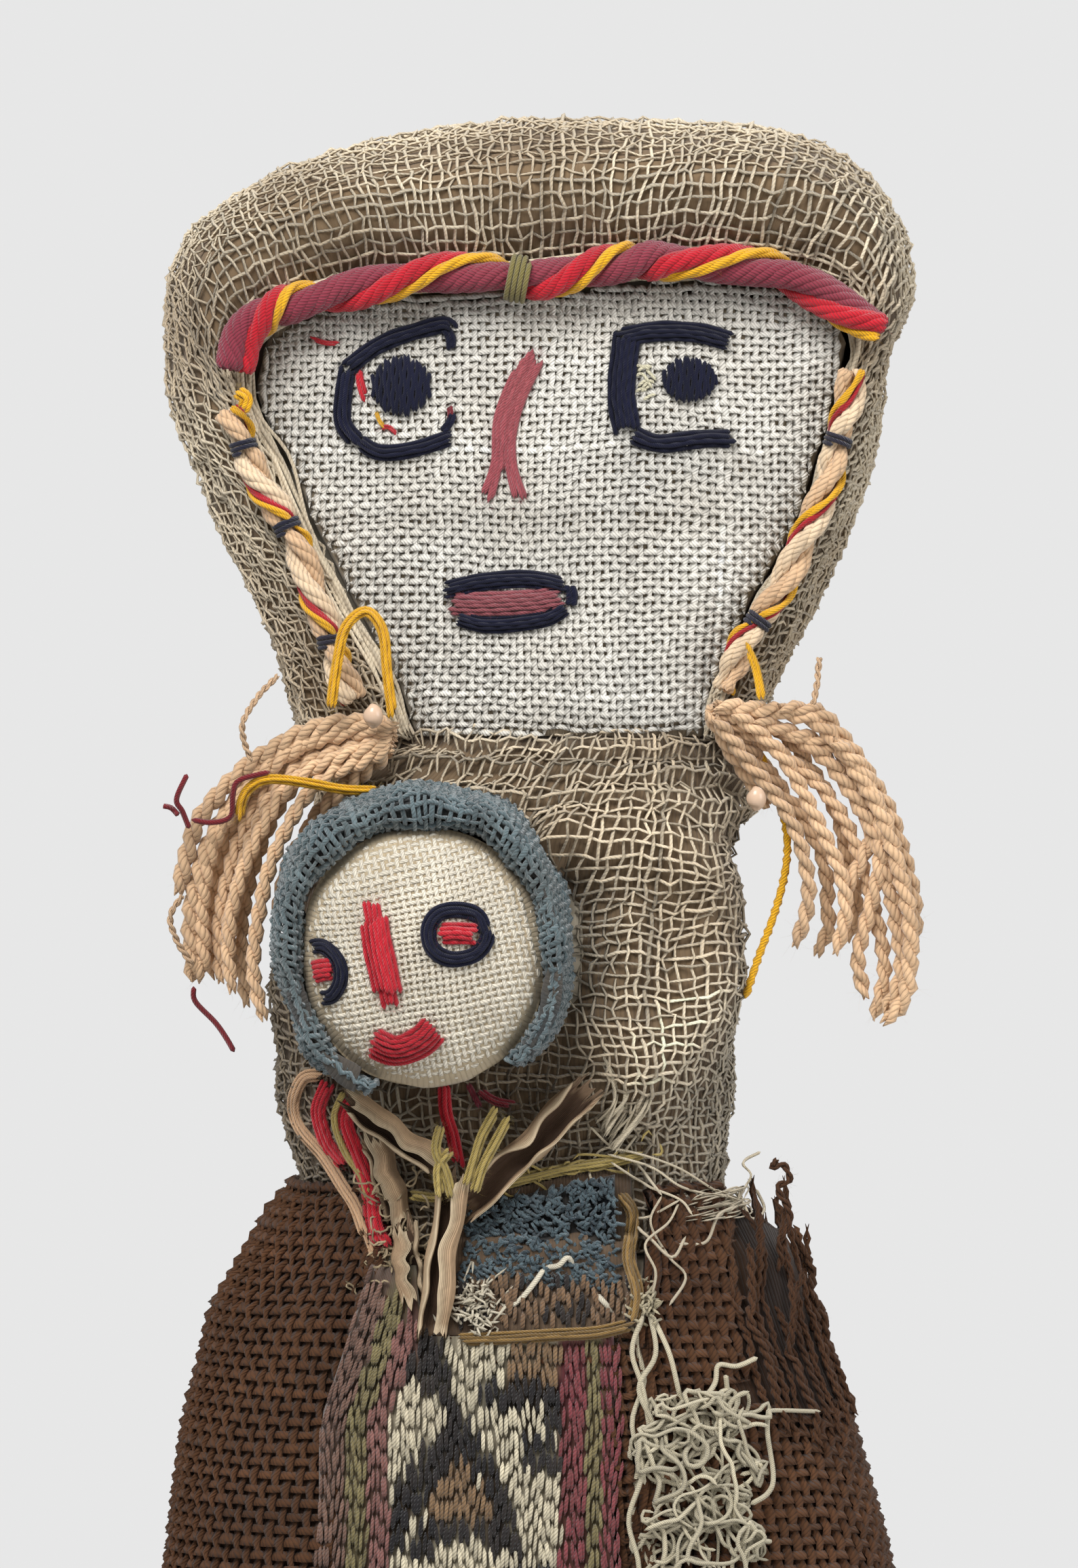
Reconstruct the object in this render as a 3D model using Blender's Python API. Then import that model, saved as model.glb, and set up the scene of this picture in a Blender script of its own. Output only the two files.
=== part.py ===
"""Burial doll: a stuffed mother figure in a gauze hood and a brown tunic, holding a small baby figure.

Metres, +Z up. The face looks along -Y and the origin is the middle of the flat base.
"""

import math

import bmesh
import bpy
import numpy as np

MM = 0.001

# Gap between pieces that lie on each other
CLEAR = 0.3 * MM

# Head: outline of the gauze hood, seen from the front
HEAD_BASE = 214.2 * MM
HEAD_HEIGHT = 75.8 * MM
HEAD_WIDTH = 93.6 * MM
HEAD_SHIFT = 2.4 * MM
HOOD_WALL = 1.6 * MM
HOOD_BACK_DEPTH = 17.0 * MM
NAPE_DEPTH = 13.0 * MM
NAPE_WIDTH = 38.0 * MM
BRIM_DEPTH = 21.5 * MM
FLAP_DEPTH = 14.6 * MM
SEAM_GAP = 0.9 * MM
FACE_EDGE_DEPTH = 13.0 * MM
FACE_CROWN = 5.0 * MM
FACE_WALL = 1.2 * MM

# Embroidery yarns on the face
EYE_YARN = 2.2 * MM
PUPIL_LEFT = 7.0 * MM
PUPIL_RIGHT = 6.0 * MM
NOSE_YARN = 3.4 * MM
MOUTH_YARN = 1.8 * MM
LIP_YARN = 2.6 * MM
STITCH_HEIGHT = 1.2 * MM
NOSE_HEIGHT = 1.6 * MM

# Twisted bands: radius of each yarn and length of one turn
BAND_BURGUNDY = 1.25 * MM
BAND_RED = 1.0 * MM
BAND_YELLOW = 0.7 * MM
BAND_PITCH = 15.0 * MM
BAND_LIFT = 0.9 * MM
ROLL_PEACH = 0.95 * MM
ROLL_YELLOW = 0.5 * MM
ROLL_PITCH = 12.0 * MM
BINDING_YARN = 0.7 * MM
BINDING_PINCH = 0.68
TIE_WIDTH = 2.4 * MM
TIE_WALL = 0.5 * MM

# Tassels at the jaw and the loose cords beside them
TASSEL_YARN = 1.35 * MM
TASSEL_ROOT = 3.0 * MM
TASSEL_SPREAD = 2.1
TASSEL_LAY = 8.0 * MM
CORD_YARN = 0.6 * MM

# Trunk, wrapped in gauze
GAUZE_TOP = HEAD_BASE - CLEAR
GAUZE_FOOT = 151.0 * MM
GAUZE_WALL = 1.2 * MM
GAUZE_FOLD = 0.5 * MM
GAUZE_FOLDS = 7
TRUNK_WIDTH = 56.6 * MM
TRUNK_DEPTH = 41.0 * MM
TRUNK_ROUND = 2.4
SPINE_REED = 3.0 * MM
SPINE_FOOT = 150.0 * MM
SPINE_TOP = 252.0 * MM
SPINE_X = 3.5 * MM
STUFFING_EASE = 0.6 * MM
WRAP_FOOT = 204.0 * MM
WRAP_WALL = 3.4 * MM
WRAP_FOLDS = 3
WRAP_WAVE = 0.5 * MM

# Tunic with its woven front panel
TUNIC_TOP = 158.5 * MM
TUNIC_HEM_WIDTH = 112.0 * MM
TUNIC_HEM_DEPTH = 60.0 * MM
TUNIC_WALL = 1.4 * MM
NECKLINE_DIP = 17.5 * MM
NECKLINE_LEFT = -10.0 * MM
NECKLINE_RIGHT = 12.0 * MM
NECKLINE_SLOPE_LEFT = 1.9
NECKLINE_SLOPE_RIGHT = 5.0
EDGE_SEAT = 2.5 * MM
RAG_FROM = 14.0 * MM
RAG_RISE = 1.6 * MM
HEM_GAP = 1.5 * MM
PANEL_WALL = 1.0 * MM
PANEL_LEFT = -25.2 * MM
PANEL_STRIPES = 8.7 * MM
PANEL_FIELD = 20.5 * MM
PANEL_BORDER = 7.4 * MM
PANEL_TOP = 141.0 * MM
PANEL_RISE = 9.5 * MM
PANEL_CORNER = -10.5 * MM
PANEL_LEAN_FROM = 130.0 * MM
PANEL_LEAN = 0.33

# Baby figure held in front of the trunk
BABY_X = -12.3 * MM
BABY_Z = 189.0 * MM
BABY_WIDTH = 35.4 * MM
BABY_HEIGHT = 38.0 * MM
BABY_TILT = math.radians(10.0)
BABY_ROUND = 2.3
BABY_FACE_EDGE = 33.0 * MM
BABY_CROWN = 7.5 * MM
BABY_FACE_WALL = 1.0 * MM
BABY_HOOD_FRONT = 36.5 * MM
BABY_NOSE = 3.6 * MM
BABY_EYE_YARN = 1.5 * MM
BABY_BAR = 2.4 * MM
BABY_MOUTH = 3.6 * MM

# Reeds, lashings and the patch below the baby
REED = 1.5 * MM
REED_WALL = 0.5 * MM
UPPER_BREAK = 2.4 * MM
LOWER_BREAK = 2.0 * MM
LASHING = 0.8 * MM
SLEEVE_ROLL = 0.9 * MM
SLEEVE_YARN = 1.0 * MM
PATCH_WALL = 1.3 * MM
BORDER_YARN = 0.9 * MM
ARM_WIDTH = 12.0 * MM
ARM_HEIGHT = 6.5 * MM
TANGLE_YARN = 0.6 * MM
TANGLE_ROWS = 9
TANGLE_TOP = 137.0 * MM
TANGLE_STEP = 4.0 * MM
TANGLE_LEFT = 14.2 * MM
TANGLE_RIGHT = 28.0 * MM
NECK_EDGE = 152.0 * MM
SHOULDER_YARN = 0.55 * MM

# Outlines in shares of half the head's width and of its height, from the left jaw over the top
HOOD_OUTLINE = [
    (-0.645, 0.0), (-0.716, 0.16), (-0.825, 0.31), (-0.893, 0.43), (-0.974, 0.56),
    (-1.0, 0.70), (-0.985, 0.775), (-0.89, 0.85), (-0.60, 0.94), (-0.27, 0.984),
    (0.18, 1.0), (0.635, 0.984), (0.90, 0.894), (0.992, 0.744), (0.915, 0.625),
    (0.861, 0.443), (0.737, 0.248), (0.622, 0.10), (0.553, 0.0),
]
FACE_OUTLINE = [
    (-0.335, 0.0), (-0.39, 0.10), (-0.50, 0.22), (-0.615, 0.363), (-0.669, 0.449),
    (-0.724, 0.507), (-0.757, 0.563), (-0.725, 0.65), (-0.444, 0.71), (-0.028, 0.72),
    (0.446, 0.743), (0.70, 0.72), (0.80, 0.64), (0.761, 0.529), (0.66, 0.334),
    (0.56, 0.23), (0.506, 0.162), (0.45, 0.08), (0.42, 0.0),
]


def clear_scene():
    for item in list(bpy.data.objects):
        bpy.data.objects.remove(item, do_unlink=True)


def finish(name, colour, roughness=0.9):
    """One cloth, yarn or reed colour as a material."""
    material = bpy.data.materials.get(name) or bpy.data.materials.new(name)
    material.use_nodes = True
    shader = material.node_tree.nodes["Principled BSDF"]
    shader.inputs["Base Color"].default_value = (*colour, 1.0)
    shader.inputs["Roughness"].default_value = roughness
    shader.inputs["Metallic"].default_value = 0.0
    return material


def smooth_path(points, count, closed=False):
    """Evenly spaced points along a smooth curve through the given ones."""
    given = np.array(points, float)
    if closed:
        ends = np.vstack([given[-1:], given, given[:2]])
    else:
        ends = np.vstack([2 * given[:1] - given[1:2], given, 2 * given[-1:] - given[-2:-1]])
    dense = []
    for a, b, c, d in zip(ends, ends[1:], ends[2:], ends[3:]):
        for t in np.linspace(0, 1, 12, endpoint=False):
            dense.append(b + 0.5 * t * (c - a + t * (2 * a - 5 * b + 4 * c - d + t * (3 * (b - c) + d - a))))
    dense.append(ends[-2])
    dense = np.array(dense)
    run = np.concatenate([[0], np.cumsum(np.linalg.norm(np.diff(dense, axis=0), axis=1))])
    wanted = np.linspace(0, run[-1], count + 1)[:-1] if closed else np.linspace(0, run[-1], count)
    return np.column_stack([np.interp(wanted, run, column) for column in dense.T])


def path_length(points):
    return float(np.linalg.norm(np.diff(np.array(points, float), axis=0), axis=1).sum())


def solid(name, points, faces, material, smooth=True):
    """A closed body with its faces turned outward."""
    mesh = bpy.data.meshes.new(name)
    mesh.from_pydata([tuple(point) for point in points], [], faces)
    shape = bmesh.new()
    shape.from_mesh(mesh)
    bmesh.ops.recalc_face_normals(shape, faces=shape.faces)
    shape.to_mesh(mesh)
    shape.free()
    mesh.materials.append(material)
    if smooth:
        mesh.shade_smooth()
        mesh.set_sharp_from_angle(angle=math.radians(50))
    body = bpy.data.objects.new(name, mesh)
    bpy.context.collection.objects.link(body)
    return body


def strip_faces(first, second, around):
    """Quads between two rows of point numbers."""
    pairs = list(zip(first, second))
    if around:
        pairs.append(pairs[0])
    return [(a, b, d, c) for (a, b), (c, d) in zip(pairs, pairs[1:])]


def sheet(name, outer, inner, material, around=False):
    """Cloth of some thickness between two grids of points, open or closed round its first axis."""
    rows, columns = outer.shape[:2]
    points = np.vstack([outer.reshape(-1, 3), inner.reshape(-1, 3)])
    top = np.arange(rows * columns).reshape(rows, columns)
    under = top + rows * columns
    faces = []
    for column in range(columns - 1):
        faces += strip_faces(top[:, column], top[:, column + 1], around)
        faces += strip_faces(under[:, column + 1], under[:, column], around)
    faces += strip_faces(under[:, 0], top[:, 0], around)
    faces += strip_faces(top[:, -1], under[:, -1], around)
    if not around:
        faces += strip_faces(top[0], under[0], False)
        faces += strip_faces(under[-1], top[-1], False)
    return solid(name, points, faces, material)


def loft(name, rings, material):
    """A closed body through rings of equal count, with flat or domed ends."""
    rings = [np.array(ring, float) for ring in rings]
    count = len(rings[0])
    points = np.vstack(rings)
    rows = np.arange(len(points)).reshape(len(rings), count)
    faces = []
    for low, high in zip(rows, rows[1:]):
        faces += strip_faces(low, high, True)
    faces.append(tuple(int(i) for i in rows[0]))
    faces.append(tuple(int(i) for i in rows[-1]))
    return solid(name, points, faces, material)


def thinned(grid, wall):
    """The grid moved inward by the cloth's wall, square to its surface."""
    across = np.gradient(grid, axis=0)
    along = np.gradient(grid, axis=1)
    normal = np.cross(across, along)
    normal /= np.maximum(np.linalg.norm(normal, axis=2, keepdims=True), 1e-12)
    outward = grid - grid.reshape(-1, 3).mean(axis=0)
    if (normal * outward).sum() < 0:
        normal = -normal
    return grid - normal * wall


def yarn(name, points, radius, material, radii=None, sides=1):
    """A round yarn with filled ends; sides 0 gives four, 1 gives six, 2 gives eight."""
    curve = bpy.data.curves.new(name, "CURVE")
    curve.dimensions = "3D"
    curve.bevel_depth = radius
    curve.bevel_resolution = sides
    curve.use_fill_caps = True
    curve.render_resolution_u = 0
    spline = curve.splines.new("POLY")
    spline.points.add(len(points) - 1)
    for index, place in enumerate(points):
        spline.points[index].co = (*place, 1.0)
        spline.points[index].radius = 1.0 if radii is None else radii[index]
    curve.materials.append(material)
    thread = bpy.data.objects.new(name, curve)
    bpy.context.collection.objects.link(thread)
    return thread


def frames_along(path):
    """Side and up vectors that turn as little as possible along a path."""
    path = np.array(path, float)
    tangent = np.gradient(path, axis=0)
    tangent /= np.linalg.norm(tangent, axis=1, keepdims=True)
    up = np.array([0.0, -1.0, 0.0])
    sides = []
    ups = []
    for direction in tangent:
        side = np.cross(direction, up)
        side /= np.linalg.norm(side)
        up = np.cross(side, direction)
        sides.append(side)
        ups.append(up)
    return np.array(sides), np.array(ups)


def turn_offset(radius, pitch):
    """Distance of a yarn from the middle of its twist so that opposite yarns just clear."""
    reach = radius + CLEAR / 2
    slant = math.hypot(1.0, 2 * math.pi * reach / pitch)
    return reach * slant


def twisted_yarn(name, path, radius, offset, start, pitch, material, squeeze=None):
    """One yarn of a twist, wound round a middle path."""
    side, up = frames_along(path)
    run = np.concatenate([[0], np.cumsum(np.linalg.norm(np.diff(path, axis=0), axis=1))])
    angle = start + 2 * math.pi * run / pitch
    scale = np.ones(len(path)) if squeeze is None else squeeze
    reach = (offset * scale)[:, None]
    places = path + reach * (np.cos(angle)[:, None] * side + np.sin(angle)[:, None] * up)
    return yarn(name, places, radius, material, radii=scale)


def plied_strand(name, path, radius, lay, material, taper=0.75, waist=0.18):
    """A loose yarn of two plies: its section is waisted and turns along the path."""
    side, up = frames_along(path)
    run = np.concatenate([[0], np.cumsum(np.linalg.norm(np.diff(path, axis=0), axis=1))])
    around = np.linspace(0, 2 * math.pi, 6, endpoint=False)
    rings = []
    for index, centre in enumerate(path):
        phase = 2 * math.pi * run[index] / lay
        share = run[index] / run[-1]
        swell = radius * (1 - (1 - taper) * share ** 3)
        reach = swell * (1 - waist + waist * np.cos(2 * (around - phase)))
        rings.append(centre + reach[:, None] * (np.cos(around)[:, None] * side[index]
                                                + np.sin(around)[:, None] * up[index]))
    return loft(name, rings, material)


def binding(name, centre, direction, hole, wall, width, material):
    """A short turn of yarn or cloth round a twist."""
    direction = direction / np.linalg.norm(direction)
    side = np.cross(direction, (0.0, -1.0, 0.0))
    side /= np.linalg.norm(side)
    up = np.cross(side, direction)
    profile = [(hole, -0.5), (hole + wall, -0.3), (hole + wall, 0.3), (hole, 0.5)]
    around = np.linspace(0, 2 * math.pi, 10, endpoint=False)
    count = len(profile)
    points = []
    for angle in around:
        spoke = math.cos(angle) * side + math.sin(angle) * up
        points += [centre + reach * spoke + share * width * direction for reach, share in profile]
    faces = []
    for index in range(len(around)):
        here = [index * count + k for k in range(count)]
        ahead = [(index + 1) % len(around) * count + k for k in range(count)]
        faces += strip_faces(here, ahead, True)
    return solid(name, points, faces, material)


def stroke(name, path, width, height, surface, material, columns=3, count=None, tip=0.6):
    """Yarn or padding that lies on a surface seen from the front, with a domed top."""
    if count is None:
        count = max(4, int(path_length(path) / width) + 2)
    middle = smooth_path(path, count)
    heading = np.gradient(middle, axis=0)
    heading /= np.linalg.norm(heading, axis=1, keepdims=True)
    across = np.column_stack([-heading[:, 1], heading[:, 0]])
    shares = np.linspace(-1, 1, columns)
    rings = []
    for index, place in enumerate(middle):
        share = index / (count - 1)
        close = min(share, 1 - share) * (count - 1)
        size = tip if close < 0.5 else 1.0
        ring = []
        for lying, row in ((False, shares), (True, shares[::-1])):
            for part in row:
                x, z = place + across[index] * part * width * size / 2
                rise = 0.0 if lying else height * size * (0.35 + 0.65 * math.sqrt(1 - part * part))
                ring.append((x, surface(x, z) - CLEAR - rise, z))
        rings.append(ring)
    return loft(name, rings, material)


def pad(name, outline, height, surface, material):
    """A domed patch on a surface seen from the front, inside a closed outline."""
    edge = np.array(outline, float)
    centre = edge.mean(axis=0)
    count = len(edge)
    points = []
    for lying in (False, True):
        for share, rise in ((1.0, 0.5), (0.62, 0.92)):
            for place in centre + (edge - centre) * share:
                up = 0.0 if lying else rise * height
                points.append((place[0], surface(*place) - CLEAR - up, place[1]))
        up = 0.0 if lying else height
        points.append((centre[0], surface(*centre) - CLEAR - up, centre[1]))
    step = 2 * count + 1
    faces = []
    for base in (0, step):
        rim = [base + k for k in range(count)]
        inner = [base + count + k for k in range(count)]
        faces += strip_faces(rim, inner, True)
        faces += [(inner[k], inner[(k + 1) % count], base + 2 * count) for k in range(count)]
    faces += strip_faces(list(range(count)), [step + k for k in range(count)], True)
    return solid(name, points, faces, material)


def laid(points, surface, radius, count):
    """A yarn's route that rests on a surface seen from the front."""
    route = smooth_path(points, count)
    return np.array([(x, surface(x, z) - CLEAR - radius, z) for x, z in route])


def oval(half_width, half_depth, centre, z, count, power=TRUNK_ROUND):
    """A rounded oval section of the trunk or the tunic."""
    around = np.linspace(0, 2 * math.pi, count, endpoint=False)
    c, s = np.cos(around), np.sin(around)
    x = centre + half_width * np.sign(c) * np.abs(c) ** (2 / power)
    y = half_depth * np.sign(s) * np.abs(s) ** (2 / power)
    return np.column_stack([x, y, np.full(count, z)])


def oval_front(x, half_width, half_depth, centre):
    """How far forward such a section lies at x."""
    share = min(abs(x - centre) / half_width, 0.985)
    return -half_depth * (1 - share ** TRUNK_ROUND) ** (1 / TRUNK_ROUND)


def head_place(across, up):
    """A place on the head from shares of its half width and height."""
    return (HEAD_SHIFT + across * HEAD_WIDTH / 2, HEAD_BASE + up * HEAD_HEIGHT)


def head_places(shares):
    return [head_place(*share) for share in shares]


FACE_LEFT_EDGE = FACE_OUTLINE[:8]
FACE_TOP_EDGE = FACE_OUTLINE[7:13]
FACE_RIGHT_EDGE = FACE_OUTLINE[:11:-1]


def face_front(x, z):
    """Outside of the face cloth: crowned across, flatter at its top and bottom."""
    up = min(max((z - HEAD_BASE) / HEAD_HEIGHT, 0.0), 0.72)
    start = np.interp(up, [place[1] for place in FACE_LEFT_EDGE], [place[0] for place in FACE_LEFT_EDGE])
    stop = np.interp(up, [place[1] for place in FACE_RIGHT_EDGE], [place[0] for place in FACE_RIGHT_EDGE])
    across = (x - HEAD_SHIFT) / (HEAD_WIDTH / 2)
    share = min(abs(2 * across - start - stop) / (stop - start), 1.0)
    swell = 0.65 + 0.35 * math.sin(math.pi * (0.12 + 0.88 * up / 0.72))
    return -FACE_EDGE_DEPTH - FACE_CROWN * swell * (1 - share ** 2) ** 0.75


def patch_between(bottom, top, left, right):
    """A grid filled in between four border lines that share their corners."""
    across = np.linspace(0, 1, len(bottom))[:, None, None]
    up = np.linspace(0, 1, len(left))[None, :, None]
    ruled = (1 - up) * bottom[:, None] + up * top[:, None] + (1 - across) * left[None] + across * right[None]
    corners = ((1 - across) * ((1 - up) * bottom[0] + up * top[0])
               + across * ((1 - up) * bottom[-1] + up * top[-1]))
    return ruled - corners


def make_face_cloth(material):
    """Woven cloth stretched over the front of the head."""
    columns, rows = 10, 9
    left = smooth_path(head_places(FACE_LEFT_EDGE), rows)
    right = smooth_path(head_places(FACE_RIGHT_EDGE), rows)
    top = smooth_path(head_places(FACE_TOP_EDGE), columns)
    bottom = np.linspace(left[0], right[0], columns)
    flat = patch_between(bottom, top, left, right)
    outer = np.array([[(x, face_front(x, z), z) for x, z in line] for line in flat])
    return sheet("face_cloth", outer, outer + np.array([0.0, FACE_WALL, 0.0]), material)


HOOD_COLUMNS = 25
BRIM_SECTION = [(0.0, 0.63), (0.22, 0.66), (0.46, 1.0), (0.74, 0.98), (0.97, 0.46), (1.0, 0.05)]
FLAP_SECTION = [(0.0, 0.92), (0.25, 1.0), (0.5, 0.99), (0.75, 0.82), (0.95, 0.4), (1.0, 0.0)]
BACK_SECTION = [(0.10, 0.55), (0.28, 0.88), (0.60, 1.0)]


def hood_grid():
    """Outside of the hood: from the face opening over its rim and down the back to the nape."""
    opening = smooth_path(head_places(FACE_OUTLINE), HOOD_COLUMNS)
    rim = smooth_path(head_places(HOOD_OUTLINE), HOOD_COLUMNS)
    middle = np.array(head_place(0.0, 0.45))
    away = opening - middle
    opening = opening + away / np.linalg.norm(away, axis=1, keepdims=True) * SEAM_GAP
    opening[[0, -1], 1] = HEAD_BASE
    lines = []
    for index in range(HOOD_COLUMNS):
        share = index / (HOOD_COLUMNS - 1)
        brim = min(max((0.5 - abs(share - 0.5) - 0.25) / 0.14, 0.0), 1.0)
        brim = brim * brim * (3 - 2 * brim)
        nape = np.array([HEAD_SHIFT + (share - 0.5) * NAPE_WIDTH, HEAD_BASE])
        line = []
        for (over, depth), (beside, flat) in zip(BRIM_SECTION, FLAP_SECTION):
            reach = brim * over + (1 - brim) * beside
            y = -(brim * depth * BRIM_DEPTH + (1 - brim) * flat * FLAP_DEPTH)
            x, z = opening[index] + (rim[index] - opening[index]) * reach
            line.append((x, y, z))
        for reach, depth in BACK_SECTION:
            x, z = rim[index] + (nape - rim[index]) * reach
            line.append((x, depth * HOOD_BACK_DEPTH, z))
        line.append((nape[0], NAPE_DEPTH, nape[1]))
        lines.append(smooth_path(line, 12))
    return np.array(lines)


def make_hood(material):
    """Gauze hood: padded brim over the forehead, side flaps to the jaw, gathered at the nape."""
    grid = hood_grid()
    inner = thinned(grid, HOOD_WALL)
    inner[0, :, 2] = HEAD_BASE
    inner[-1, :, 2] = HEAD_BASE
    inner[:, -1, 2] = HEAD_BASE
    return sheet("hood", grid, inner, material)


# Head pad: height share, front and back depth as shares of the brim and nape depth, and inset
PAD_LEVELS = [
    (0.0, 0.52, 0.84, 1.0), (0.3, 0.52, 0.84, 1.0), (0.55, 0.52, 0.80, 1.2), (0.68, 0.52, 0.70, 1.8),
    (0.76, 0.52, 0.60, 2.4), (0.82, 0.62, 0.45, 2.4), (0.88, 0.74, 0.25, 2.2), (0.93, 0.55, 0.0, 3.4),
]


def make_head_pad(material):
    """Stuffing of the head, under the face cloth and the hood."""
    left = HOOD_OUTLINE[:11]
    right = HOOD_OUTLINE[:9:-1]
    rings = []
    for up, ahead, behind, inset in PAD_LEVELS:
        start = np.interp(up, [place[1] for place in left], [place[0] for place in left])
        stop = np.interp(up, [place[1] for place in right], [place[0] for place in right])
        half_width = (stop - start) / 2 * HEAD_WIDTH / 2 - 2.3 * HOOD_WALL * inset
        centre = HEAD_SHIFT + (start + stop) / 2 * HEAD_WIDTH / 2
        ring = oval(half_width, 1.0, centre, HEAD_BASE + up * HEAD_HEIGHT, 20, power=3.0)
        ring[:, 1] *= np.where(ring[:, 1] < 0, ahead * BRIM_DEPTH, behind * NAPE_DEPTH)
        rings.append(ring)
    return loft("head_pad", rings, material)


# Trunk: height share, width share, depth share, and the lean of its middle
TRUNK_LEVELS = [
    (0.0, 0.92, 0.95, -1.2 * MM), (0.128, 0.926, 0.96, -1.2 * MM), (0.3, 1.0, 1.0, -2.3 * MM),
    (0.54, 1.0, 1.0, -2.5 * MM), (0.78, 0.955, 0.93, -1.0 * MM), (0.89, 0.865, 0.82, 2.0 * MM),
    (0.955, 0.76, 0.73, 4.2 * MM), (1.0, 0.70, 0.68, 4.8 * MM),
]
TRUNK_RINGS = (0.0, 0.128, 0.3, 0.46, 0.62, 0.78, 0.89, 0.955, 1.0)
TUNIC_LEVELS = [
    (0.0, 1.0, 1.0, 0.5 * MM), (0.38, 0.91, 0.95, 0.5 * MM), (0.70, 0.805, 0.89, 0.2 * MM),
    (0.82, 0.74, 0.85, -0.5 * MM), (0.90, 0.665, 0.815, -1.4 * MM), (0.95, 0.60, 0.785, -0.4 * MM),
    (0.98, 0.555, 0.765, -0.4 * MM), (1.0, 0.512, 0.75, -0.5 * MM),
]


def at_level(levels, share, width, depth):
    """Half width, half depth and middle of a section."""
    shares = [level[0] for level in levels]
    values = [np.interp(share, shares, [level[k] for level in levels]) for k in (1, 2, 3)]
    return float(values[0]) * width / 2, float(values[1]) * depth / 2, float(values[2])


def trunk(z):
    return at_level(TRUNK_LEVELS, (z - GAUZE_FOOT) / (GAUZE_TOP - GAUZE_FOOT), TRUNK_WIDTH, TRUNK_DEPTH)


def tunic(z):
    return at_level(TUNIC_LEVELS, z / TUNIC_TOP, TUNIC_HEM_WIDTH, TUNIC_HEM_DEPTH)


def trunk_front(x, z):
    return oval_front(x, *trunk(z))


def chest_front(x, z):
    """Where the baby's head rests: the trunk gauze, and the neck wrap higher up."""
    wrap = min(max((z - WRAP_FOOT) / WRAP_WALL + 1.0, 0.0), 1.0) * (WRAP_WALL + 2 * CLEAR)
    half_width, half_depth, centre = trunk(z)
    return oval_front(x, half_width + wrap, half_depth + wrap, centre) - CLEAR


def tunic_front(x, z):
    return oval_front(x, *tunic(min(z, TUNIC_TOP)))


def neckline(x):
    """Front top edge of the tunic, which dips below the patch."""
    left = max(0.0, NECKLINE_LEFT - x) * NECKLINE_SLOPE_LEFT
    right = max(0.0, x - NECKLINE_RIGHT) * NECKLINE_SLOPE_RIGHT
    return min(TUNIC_TOP, TUNIC_TOP - NECKLINE_DIP + left + right)


def front(x, z):
    """Frontmost cloth at one place: the tunic where it reaches, the trunk above it."""
    depth = trunk_front(x, max(z, GAUZE_FOOT))
    edge = neckline(x) + EDGE_SEAT
    if z < edge:
        return min(depth, tunic_front(x, z))
    if z < GAUZE_FOOT:
        half_width, half_depth, centre = tunic(z)
        return min(depth, oval_front(x, half_width - TUNIC_WALL, half_depth - TUNIC_WALL, centre))
    return depth


def make_stuffing(material):
    """Stuffed trunk: fills the tunic below, narrows to the gauze-wrapped chest and the neck."""
    rings = []
    for share in (0.0, 0.38, 0.70, 0.82, 0.90, 0.93):
        z = share * TUNIC_TOP
        half_width, half_depth, centre = tunic(z)
        ease = TUNIC_WALL + STUFFING_EASE
        rings.append(oval(half_width - ease, half_depth - ease, centre, z, 24))
    for share in TRUNK_RINGS:
        z = GAUZE_FOOT + share * (GAUZE_TOP - GAUZE_FOOT)
        half_width, half_depth, centre = trunk(z)
        ease = GAUZE_WALL + GAUZE_FOLD + 1.5 * CLEAR
        rings.append(oval(half_width - ease, half_depth - ease, centre, z, 24))
    return loft("trunk_stuffing", rings, material)


def make_trunk_gauze(material):
    """Gauze wound round the chest, with soft hanging folds."""
    columns = 28
    around = np.linspace(0, 2 * math.pi, columns, endpoint=False)
    outer = []
    inner = []
    for share in TRUNK_RINGS:
        z = GAUZE_FOOT + share * (GAUZE_TOP - GAUZE_FOOT)
        half_width, half_depth, centre = trunk(z)
        fold = GAUZE_FOLD * np.sin(0.5 * GAUZE_FOLDS * around + 5.0 * share) ** 2
        ring = oval(half_width, half_depth, centre, z, columns)
        spoke = ring - np.array([centre, 0.0, z])
        spoke /= np.linalg.norm(spoke, axis=1, keepdims=True)
        outer.append(ring - spoke * fold[:, None])
        ease = GAUZE_WALL + GAUZE_FOLD
        inner.append(oval(half_width - ease, half_depth - ease, centre, z, columns))
    outer = np.array(outer).transpose(1, 0, 2)
    inner = np.array(inner).transpose(1, 0, 2)
    return sheet("trunk_gauze", outer, inner, material, around=True)


def make_neck_wrap(material):
    """Gauze wound round the neck in level folds."""
    columns = 24
    steps = 2 * WRAP_FOLDS + 1
    around = np.linspace(0, 2 * math.pi, columns, endpoint=False)
    outer = []
    inner = []
    ease = 2 * CLEAR
    for step in range(steps):
        share = step / (steps - 1)
        z = WRAP_FOOT + share * (HEAD_BASE - CLEAR - WRAP_FOOT)
        half_width, half_depth, centre = trunk(min(z, GAUZE_TOP))
        bulge = WRAP_WALL * (0.55 + 0.45 * (step % 2))
        lip = min(share, 1 - share) < 0.01
        bulge *= 0.6 if lip else 1.0
        wave = WRAP_WAVE * np.sin(2 * around + share * 4.0)
        ring = oval(half_width + ease + bulge, half_depth + ease + bulge, centre, z, columns)
        if not lip:
            ring[:, 2] += wave
        outer.append(ring)
        inner.append(oval(half_width + ease, half_depth + ease, centre, z, columns))
    outer = np.array(outer).transpose(1, 0, 2)
    inner = np.array(inner).transpose(1, 0, 2)
    return sheet("neck_wrap", outer, inner, material, around=True)


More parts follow.
